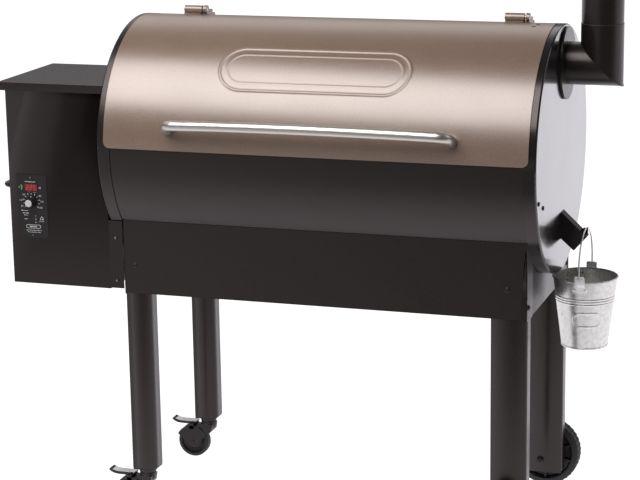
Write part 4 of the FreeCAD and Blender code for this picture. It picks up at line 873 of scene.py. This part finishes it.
def cross_screw(screws, crosses, axis, sign, centre, radius, height):
    """A small pan head, and the cross on it."""
    turns = [math.radians(angle) for angle in (0, 20, 40, 60, 78)]
    rounded = [(radius * math.cos(turn), height * (0.35 + 0.65 * math.sin(turn))) for turn in turns]
    profile = [(0, -0.5), (radius, -0.5)] + rounded + [(0, height)]
    screws.lathe(axis, centre, flip(profile, sign), 32, closed=False)
    a, b, c = AXES[axis]
    tip = centre[c] + sign * height
    for long_way, short_way in ((a, b), (b, a)):
        low, high = list(centre), list(centre)
        for way, half in ((long_way, radius * 0.55), (short_way, radius * 0.12)):
            low[way] -= half
            high[way] += half
        low[c], high[c] = sorted((tip - sign * 0.6, tip + sign * 0.04))
        crosses.box(low, high, 0)


def build_screws():
    """The pan-head screws of the end caps, the hopper's flange and the control panel."""
    cap_right = span("right_end_cap")[1].x
    hopper_front = span("hopper_body")[0].y
    spots = [("X", 1, (cap_right, y, z), 4.6, 2.8) for y, z in CAP_SCREWS]
    spots += [("X", 1, (1.5 - FACE_X, *LEFT_CAP_SCREW), 4.0, 2.0)]
    spots += [("Y", -1, (FLANGE_SCREW_X, hopper_front, z), 4.2, 2.4) for z in FLANGE_SCREW_ZS]
    spots += [("Y", -1, (DIAL_X, PANEL_Y, z), 2.9, 1.4)
              for z in (PANEL_HIGH.z - PANEL_SCREW_INSET, PANEL_LOW.z + PANEL_SCREW_INSET)]
    screws, crosses = Shape(), Shape()
    for spot in spots:
        cross_screw(screws, crosses, *spot)
    screws.finish("panel_screw_heads", "panel_screws", stands_for=("panel_screws",))
    crosses.finish("panel_screw_recesses", "panel_screws", "bright_steel")


# ---------------------------------------------------------------- casters

STEM_INSET = 18
PEDAL_REACH, PEDAL_Z = 38, -732
PEDAL_HALF, PLATE_HALF = 12.3, 10.8


def caster_middle(end):
    """A caster wheel's middle, radius and half width."""
    low, high = span(f"caster_wheel_{end}")
    return (low + high) / 2, (high.z - low.z) / 2, (high.y - low.y) / 2


def stem_of(end):
    """Where a caster's stem stands, along the grill."""
    return span(f"caster_fork_{end}")[1].x - STEM_INSET


def build_caster_fork(end):
    """One caster's fork; the stem stands to the right of the wheel."""
    fork = f"caster_fork_{end}"
    centre, radius, _ = caster_middle(end)
    fork_low, fork_high = span(fork)
    stem_x, half = stem_of(end), (fork_high.y - fork_low.y) / 2
    roof = centre.z + radius + 1
    neck_top = span("caster_sockets")[0].z - 0.5
    pedal_x = stem_x - PEDAL_REACH
    middle = (centre.z, centre.x)
    hood, cheek = radius + 3, 2.4
    side = arc(middle, hood, 62, -62, 16) + arc(middle, 12, -115, -245, 10)
    ear = [(roof - 6, pedal_x - 6), (PEDAL_Z, pedal_x - 4.2), (PEDAL_Z + 3.4, pedal_x - 2.4),
           (PEDAL_Z + 3.4, pedal_x + 2.4), (PEDAL_Z, pedal_x + 4.2), (roof - 6, pedal_x + 6)]
    shape = Shape()
    for y_low in (-half, half - cheek):
        shape.prism("Y", side, centre.y + y_low, centre.y + y_low + cheek, 0.7, 2)
        shape.prism("Y", ear, centre.y + y_low, centre.y + y_low + cheek, 0.5, 2)
    band = arc(middle, hood, 58, -58, 20) + arc(middle, hood - 1.6, -58, 58, 20)
    shape.prism("Y", band, centre.y - half + 0.5, centre.y + half - 0.5, 0.3, 1)
    neck = [(roof + 1, stem_x - 22), (neck_top - 6, stem_x - 17), (neck_top - 6, stem_x + 15),
            (roof - 8, stem_x + 12), (roof - 17, stem_x + 3), (roof - 15, stem_x - 2),
            (roof - 2, stem_x - 14)]
    shape.prism("Y", neck, centre.y - half + 0.2, centre.y + half - 0.2, 2.0, 3)
    turned = [(0, roof - centre.z - 2), (15.5, roof - centre.z - 2), (17.4, roof - centre.z + 2),
              (18, roof - centre.z + 6), (18, neck_top - centre.z - 1.2), (17, neck_top - centre.z),
              (0, neck_top - centre.z)]
    shape.lathe("Z", (stem_x, centre.y, centre.z), turned, 48, closed=False)
    shape.rod("Z", (stem_x, centre.y, neck_top), 5.5, -2, 30, 24)
    pin = [(0, -half - 1.4), (4.6, -half - 1.4), (5.6, -half - 0.6), (5.6, -half + 1), (4, -half + 1),
           (4, half - 1), (5.6, half - 1), (5.6, half + 0.6), (4.6, half + 1.4), (0, half + 1.4)]
    shape.lathe("Y", centre, pin, 32, closed=False)
    shape.rod("Y", (pedal_x, centre.y, PEDAL_Z), 2, -half, half, 20)
    shape.finish(f"caster_{end}_fork_moulding", fork, stands_for=(fork,))


def build_caster_wheel(end):
    """One caster's tyre, and the core it runs on."""
    wheel = f"caster_wheel_{end}"
    centre, radius, half_width = caster_middle(end)
    tyre = Shape()
    tread = [(28, 9), (30, half_width), (34.5, half_width), (36.4, 9.8), (radius, 7.5)]
    tyre.lathe("Y", centre, mirrored(tread), 96)
    tyre.finish(f"caster_{end}_tyre", wheel, "tyre", stands_for=(wheel,))
    core = Shape()
    profile = [(4.1, -11.3), (8.6, -11.3), (9.6, -10.2), (10.4, -6.5), (18, -5.2), (19, -6.4), (21, -6.4),
               (22, -5.2), (26.5, -6.5), (28.3, -9.6)]
    core.lathe("Y", centre, mirrored(profile), 72)
    core.finish(f"caster_{end}_wheel_core", wheel, "black_plastic")


def build_caster_pedal(end):
    """One caster's brake pedal and the bright plate on its top, lit and shaded copies of one steel pedal: the
    bright plate is painted highlight where light falls on the top, the black body painted shade on the sides;
    outlines are (along, up) from its pin.
    """
    brake = f"caster_brake_{end}"
    centre = caster_middle(end)[0]
    pedal_x = stem_of(end) - PEDAL_REACH
    upper = [(9, 1.4), (-28, 1.4), (-36, 2.4), (-43, 4.6), (-49, 7.6)]
    lower = [(-50.6, 4.6), (-45, 0.4), (-37, -2.8), (-28, -3.8), (2, -3.8), (9, -1.5)]
    pedal = Shape()
    outline = [(PEDAL_Z + up, pedal_x + along) for along, up in upper + lower]
    pedal.prism("Y", outline, centre.y - PEDAL_HALF, centre.y + PEDAL_HALF, 1.1, 3)
    pedal.finish(f"caster_{end}_pedal_body", brake, "black_plastic", stands_for=(brake,))
    # The bright steel on the pedal's top is a painted highlight.
    top = [(8.6, 2.6), (-20, 2.6), (-28, 2.7), (-36, 3.6), (-42.5, 5.6)]
    under = [(-42, 4.2), (-35.6, 2.0), (-28, 1.1), (8.6, 1.1)]
    plate = Shape()
    outline = [(PEDAL_Z + up, pedal_x + along) for along, up in top + under]
    plate.prism("Y", outline, centre.y - PLATE_HALF, centre.y + PLATE_HALF, 0.5, 2)
    plate.finish(f"caster_{end}_pedal_top_painted_highlight", brake, "bright_steel")


def build_sockets():
    """The plug in each short leg's end, with its turned collar."""
    low, high = span("caster_sockets")
    shape = Shape()
    for node in ("leg_front_left", "leg_rear_left"):
        leg_low, leg_high = span(node)
        bottom = leg_low.z
        shape.box((leg_low.x + 2, leg_low.y + 2, bottom + 0.2),
                  (leg_high.x - 2, leg_high.y - 2, high.z), 0.8, 2)
        shape.box((leg_low.x + 0.6, leg_low.y + 0.6, bottom - 3.0),
                  (leg_high.x - 0.6, leg_high.y - 0.6, bottom), 1.2, 3)
        foot = low.z - bottom
        collar = [(0, foot), (17.0, foot), (18.2, foot + 1.2), (19.5, -6.5), (19.5, -2.5), (0, -2.5)]
        shape.lathe("Z", (*middle_of(node), bottom), collar, 48, closed=False)
    shape.finish("caster_socket_mouldings", "caster_sockets", stands_for=("caster_sockets",))


# ---------------------------------------------------------------- road wheels

SPOKES = 10
SPOKE_CORNERS = ((14, -3.6), (59.5, -2.2), (59.5, 2.2), (14, 3.6))
TREAD_BLOCKS, TREAD_DEPTH = 40, 1.1
NUT_RADIUS = 10.0


def build_road_wheel(end):
    """One road wheel's tyre, with its blocks and middle groove, and its spoked rim."""
    node = f"road_wheel_{end}"
    low, high = span(node)
    centre = (low + high) / 2
    radius, half = (high.z - low.z) / 2, (high.y - low.y) / 2
    tyre = Shape()
    tread = [(61, half - 5), (62, half), (70.5, half), (74, half - 2.2), (radius, half - 5), (radius, 3.5),
             (radius - 1.6, 2.2)]
    tyre.lathe("Y", centre, mirrored(tread), 240, flutes=(TREAD_BLOCKS, TREAD_DEPTH, radius - 0.1))
    tyre.finish(node + "_tyre", node, "tyre", stands_for=(node,))
    rim = Shape()
    profile = [(6.1, -half), (13.5, -half), (15.5, 2 - half), (16.5, -8), (50, -6.5), (57, -8),
               (60, 4.5 - half), (61.4, 4.5 - half)]
    rim.lathe("Y", centre, mirrored(profile), 120)
    for index in range(SPOKES):
        angle = 2 * math.pi * index / SPOKES
        cos, sin = math.cos(angle), math.sin(angle)
        corners = [(centre.z + cos * reach + -sin * wide, centre.x + sin * reach + cos * wide)
                   for reach, wide in SPOKE_CORNERS]
        for y_low, y_high in ((6 - half, -6), (6, half - 6)):
            rim.prism("Y", corners, centre.y + y_low, centre.y + y_high, 1.0, 2)
    rim.finish(node + "_rim", node, "black_plastic")


def build_axles():
    """Each road wheel's bolt: a socket head inside the leg, a washer and a locknut outside the wheel."""
    low, high = span("wheel_axles")
    wheel_low, wheel_high = span("road_wheel_front")
    x, z = (wheel_low.x + wheel_high.x) / 2, (wheel_low.z + wheel_high.z) / 2
    turns = [math.pi / 3 * side for side in range(6)]
    nut = [(z + NUT_RADIUS * math.sin(turn), x + NUT_RADIUS * math.cos(turn)) for turn in turns]
    shape = Shape()
    for end, sign in (("front", -1), ("rear", 1)):
        inner, outer = [corner.y for corner in span(f"leg_{end}_right")[::sign]]
        wheel_near, wheel_far = [corner.y for corner in span(f"road_wheel_{end}")[::sign]]
        tip = low.y if sign < 0 else high.y
        bolt(shape, "Y", -sign, (x, inner, z), 9.6, 5.8)
        shape.rod("Y", (x, 0, z), 5.9, inner, tip - sign * 0.3)
        washer_end = wheel_near - sign * 0.3
        shape.lathe("Y", (x, 0, z), [(6, outer), (12, outer), (12, washer_end), (6, washer_end)], 40)
        shape.prism("Y", nut, *sorted((wheel_far + sign * 0.4, tip - sign * 1.2)), 0.7, 2)
    shape.finish("wheel_axle_bolts", "wheel_axles", stands_for=("wheel_axles",))


# ---------------------------------------------------------------- chimney

MITRE_DROP = 84


def build_chimney_beads():
    """The weld seam along the elbow's mitre, and the seam where the pipe stands on the elbow."""
    elbow_high = span("chimney_elbow")[1]
    x, y = middle_of("chimney_cap")
    radius = elbow_high.x - x
    z = elbow_high.z - MITRE_DROP
    steps = 96
    turns = [2 * math.pi * step / steps for step in range(steps)]
    path = [(x - radius * math.sin(turn), y + radius * math.cos(turn), z + radius * math.sin(turn))
            for turn in turns]
    seam = Shape()
    seam.tube(path, 0.9, 8, closed=True)
    seam.ring("Z", (x, y, elbow_high.z), radius - 0.6, 0.8, steps)
    seam.finish("chimney_seam", "chimney_elbow", "black_plastic")


# ---------------------------------------------------------------- bucket

PAIL_LOW, PAIL_HIGH = span("bucket_pail")
PAIL_X, PAIL_Y = middle_of("bucket_pail")
RIM_RADIUS, RIM_Z = (PAIL_HIGH.x - PAIL_LOW.x) / 2, PAIL_HIGH.z
RIM_CURL = 1.7
PAIL_FOOT_RADIUS = 48.3
PAIL_HEIGHT = 150
RIB_DROPS = (40, 45.5, 51)
RIB_RISE = 0.8
RIB_HALF_WIDTH = 1.9
PAIL_EMBLEM = (84, 30, 15)
PAIL_EMBLEM_TURN = -74
PAIL_EMBLEM_RISE = 0.6
PAIL_EMBLEM_HALF_WIDTH = 2.2
LUG_OUTLINE = ((12.3, 8.0), (11.8, 10.4), (9.0, 11.2), (-4.0, 11.2), (-8.0, 12.4), (-12.5, 16.5),
               (-16.5, 17.6), (-20.5, 16.0), (-23.0, 12.5), (-24.0, 9.0))
LUG_COLUMNS = 12
RIVET_DROP, RIVET_SIDE = 17, 12.0


def pail_radius(drop):
    """The pail's outer radius at a drop below its rim."""
    return RIM_RADIUS - RIM_CURL + (PAIL_FOOT_RADIUS + RIM_CURL - RIM_RADIUS) * drop / PAIL_HEIGHT


def pail_rise(drop, turn):
    """How far the pressed ribs and oval frame stand out of the pail's wall."""
    rises = [RIB_RISE * swell(abs(drop - rib), RIB_HALF_WIDTH) for rib in RIB_DROPS]
    middle, half_length, half_height = PAIL_EMBLEM
    around = (turn - PAIL_EMBLEM_TURN + 180) % 360 - 180
    across = math.radians(around) * pail_radius(drop)
    distance = oval_distance(across, drop - middle, half_length, half_height)
    return max(*rises, PAIL_EMBLEM_RISE * swell(distance, PAIL_EMBLEM_HALF_WIDTH))


def build_pail():
    """The pail's tapered wall, with its pressed ribs and frame, then its floor and rolled rim."""
    drops = [2.5] + steps_between(5, 36, 3) + steps_between(36, 55, 0.7) + steps_between(55, 66, 2)
    drops += steps_between(66, 102, 1.2) + steps_between(102, PAIL_HEIGHT - 4, 3)
    rows = [(drop, 0.0) for drop in drops]
    foot_rows = ((4, 0.0), (3.4, 0.7), (1.2, 0.9), (0.1, 0.3))
    rows += [(PAIL_HEIGHT - up, flare) for up, flare in foot_rows]
    steps = 216
    points = []
    for drop, flare in rows:
        for step in range(steps):
            turn = 360 * step / steps
            radius = pail_radius(drop) + flare + pail_rise(drop, turn)
            points.append((PAIL_X + radius * math.cos(math.radians(turn)),
                           PAIL_Y + radius * math.sin(math.radians(turn)), RIM_Z - drop))
    shape = Shape()
    shape.add(points, grid_faces(len(rows), steps, columns_join=True))
    shape.finish("pail_wall", "bucket_pail", wall=0.8, stands_for=("bucket_pail",), smooth=50)
    edge = pail_radius(PAIL_HEIGHT) - 0.6
    floor = [(0, 1.4), (30, 1.4), (edge - 2, 2.6), (edge, 2.6), (edge, 3.6), (edge - 2, 3.6), (30, 2.4),
             (0, 2.4)]
    extras = Shape()
    extras.lathe("Z", (PAIL_X, PAIL_Y, RIM_Z - PAIL_HEIGHT), floor, 96, closed=False)
    extras.ring("Z", (PAIL_X, PAIL_Y, RIM_Z - 1.7), RIM_RADIUS - 1.75, 1.65, 144)
    extras.finish("pail_rim_and_floor", "bucket_pail")


def beside_pail(radius, turn, sign, z):
    """A point at a radius from the pail's axis, turned from the Y axis on the side given by sign."""
    return PAIL_X + radius * math.sin(turn), PAIL_Y + sign * radius * math.cos(turn), z


def build_lugs():
    """Two sheet lugs bent to the pail, each with an eye, a wide tab and two riveted wings."""
    dome = [(0, 2.0), (1.4, 1.7), (2.4, 0.9), (2.8, 0), (2.8, -1.5), (0, -1.5)]
    rivet_radius = pail_radius(RIVET_DROP) + 1.0
    shape = Shape()
    eyes = Shape()
    for sign in (-1, 1):
        points = []
        for rise, half in LUG_OUTLINE:
            radius = pail_radius(-rise) + 0.9
            if rise > -5:
                radius = max(RIM_RADIUS + 0.4, pail_radius(-rise) + 0.6)
            turns = [half * (2 * column / LUG_COLUMNS - 1) / RIM_RADIUS for column in range(LUG_COLUMNS + 1)]
            points += [beside_pail(radius, turn, sign, RIM_Z + rise) for turn in turns]
        shape.add(points, grid_faces(len(LUG_OUTLINE), LUG_COLUMNS + 1))
        for side in (-1, 1):
            place = beside_pail(rivet_radius, side * RIVET_SIDE / RIM_RADIUS, sign, RIM_Z - RIVET_DROP)
            eyes.lathe("Y", place, flip(dome, sign), 24, closed=False)
        eyes.ring("Y", (PAIL_X, PAIL_Y + sign * (RIM_RADIUS + 0.9), RIM_Z + 6), 2.7, 0.8, 32)
    shape.finish("lug_plates", "bucket_lugs", "bright_zinc", wall=1.2, stands_for=("bucket_lugs",), smooth=50)
    eyes.finish("lug_rivets_and_eyes", "bucket_lugs")


build_lid()
build_handle()
build_lid_slot_shade()
build_skirt()
build_legs()
build_bolts()
build_hopper()
build_hopper_lid()
build_fascia()
build_display()
build_lamp()
build_panel_print()
build_knob()
build_screws()
for caster_end in ("front", "rear"):
    build_caster_fork(caster_end)
    build_caster_wheel(caster_end)
    build_caster_pedal(caster_end)
build_sockets()
for wheel_end in ("front", "rear"):
    build_road_wheel(wheel_end)
build_axles()
build_chimney_beads()
build_pail()
build_lugs()


# ---------------------------------------------------------------- floor, light and camera

def build_floor():
    """A pale seamless floor; what the object reflects of it is darker in front of the object."""
    mesh = bpy.data.meshes.new("floor")
    reach = 40.0
    corners = [(-reach, -reach, 0), (reach, -reach, 0), (reach, reach, 0), (-reach, reach, 0)]
    mesh.from_pydata(corners, [], [(0, 1, 2, 3)])
    floor = bpy.data.objects.new("floor", mesh)
    bpy.context.scene.collection.objects.link(floor)
    look, tree, shader = new_look("floor", Roughness=0.8, Specular_IOR_Level=0.0)
    place = parts_of(tree, "ShaderNodeTexCoord", "Object")
    front = ramp(tree, spread(tree, place["X"], 0.0, 1.0, -1.6, 0.4),
                 ((0.0, (0.26,) * 3), (1.0, (0.02,) * 3)))
    back = ramp(tree, spread(tree, place["Y"], 0.0, 1.0, -0.6, 4.0),
                ((0.0, (0.52, 0.51, 0.54)), (1.0, (0.61, 0.60, 0.635))))
    near = spread(tree, place["Y"], 0.0, 1.0, -1.5, -0.6)
    mix = add_node(tree, "ShaderNodeMix", data_type="RGBA")
    color = ramp(tree, noise_at(tree, 3.0), ((0.3, (0.20,) * 3), (0.7, (0.22,) * 3)))
    seen = add_node(tree, "ShaderNodeMix", data_type="RGBA")
    seen.inputs["B"].default_value = (0.52, 0.52, 0.52, 1)
    rays = tree.nodes.new("ShaderNodeLightPath")
    links(tree, (near, mix.inputs["Factor"]), (front, mix.inputs["A"]), (back, mix.inputs["B"]),
          (mix.outputs["Result"], seen.inputs["A"]), (rays.outputs["Is Camera Ray"], seen.inputs["Factor"]),
          (seen.outputs["Result"], shader.inputs["Emission Color"]), (color, shader.inputs["Base Color"]))
    shader.inputs["Emission Strength"].default_value = 2.0
    mesh.materials.append(look)


def build_world():
    """A studio that is bright low at the back and dark behind the camera."""
    world = bpy.data.worlds.new("studio")
    world.use_nodes = True
    bpy.context.scene.world = world
    tree = world.node_tree
    ways = parts_of(tree, "ShaderNodeTexCoord", "Generated")
    back = spread(tree, ways["Y"], 0.0, 1.0, -0.2, 0.4)
    height = spread(tree, ways["Z"], 0.0, 1.0, 0.0, 1.0)
    greys = ((0.0, 0.10), (0.28, 0.11), (0.45, 0.9), (0.64, 0.80), (0.80, 0.12), (1.0, 0.12))
    behind = ramp(tree, height, [(spot, (grey,) * 3) for spot, grey in greys])
    mix = add_node(tree, "ShaderNodeMix", data_type="RGBA")
    mix.inputs["A"].default_value = (0.07, 0.07, 0.07, 1)
    background = tree.nodes["Background"]
    background.inputs["Strength"].default_value = 1.6
    links(tree, (back, mix.inputs["Factor"]), (behind, mix.inputs["B"]),
          (mix.outputs["Result"], background.inputs["Color"]))


def add_softbox(name, place, target, width, height, radiance):
    """A soft rectangular light at a place, facing a target; radiance is its brightness as seen."""
    light = bpy.data.lights.new(name, "AREA")
    light.shape = "RECTANGLE"
    light.size = width
    light.size_y = height
    light.energy = radiance * math.pi * width * height
    obj = bpy.data.objects.new(name, light)
    obj.location = at(*place)
    obj.rotation_euler = (at(*target) - obj.location).to_track_quat("-Z", "Y").to_euler()
    obj.visible_camera = False
    bpy.context.scene.collection.objects.link(obj)


CAMERA_PLACE = (1288.8, -4062.7, 786.3)
CAMERA_TURN = (0.3216, 0.2319, -0.0157)
LENS = 113.85


def build_camera():
    """The camera at the photograph's viewing angle."""
    yaw, pitch, roll = CAMERA_TURN
    right = Vector((math.cos(yaw), math.sin(yaw), 0))
    forward = Vector((-math.sin(yaw) * math.cos(pitch), math.cos(yaw) * math.cos(pitch), -math.sin(pitch)))
    up = right.cross(forward)
    turned_right = right * math.cos(roll) + up * math.sin(roll)
    turned_up = up * math.cos(roll) - right * math.sin(roll)
    data = bpy.data.cameras.new("camera")
    data.lens = LENS
    data.sensor_width = 36
    data.clip_end = 200
    camera = bpy.data.objects.new("camera", data)
    turn = Matrix((turned_right, turned_up, -forward)).transposed()
    camera.matrix_world = Matrix.Translation(at(*CAMERA_PLACE)) @ turn.to_4x4()
    bpy.context.scene.collection.objects.link(camera)
    bpy.context.scene.camera = camera


build_floor()
build_world()
add_softbox("softbox_top", (-650, -1515, 1815), (-60, -150, 60), 2.5, 1.72, 5.6)
build_camera()
bpy.context.scene.view_settings.view_transform = "Standard"
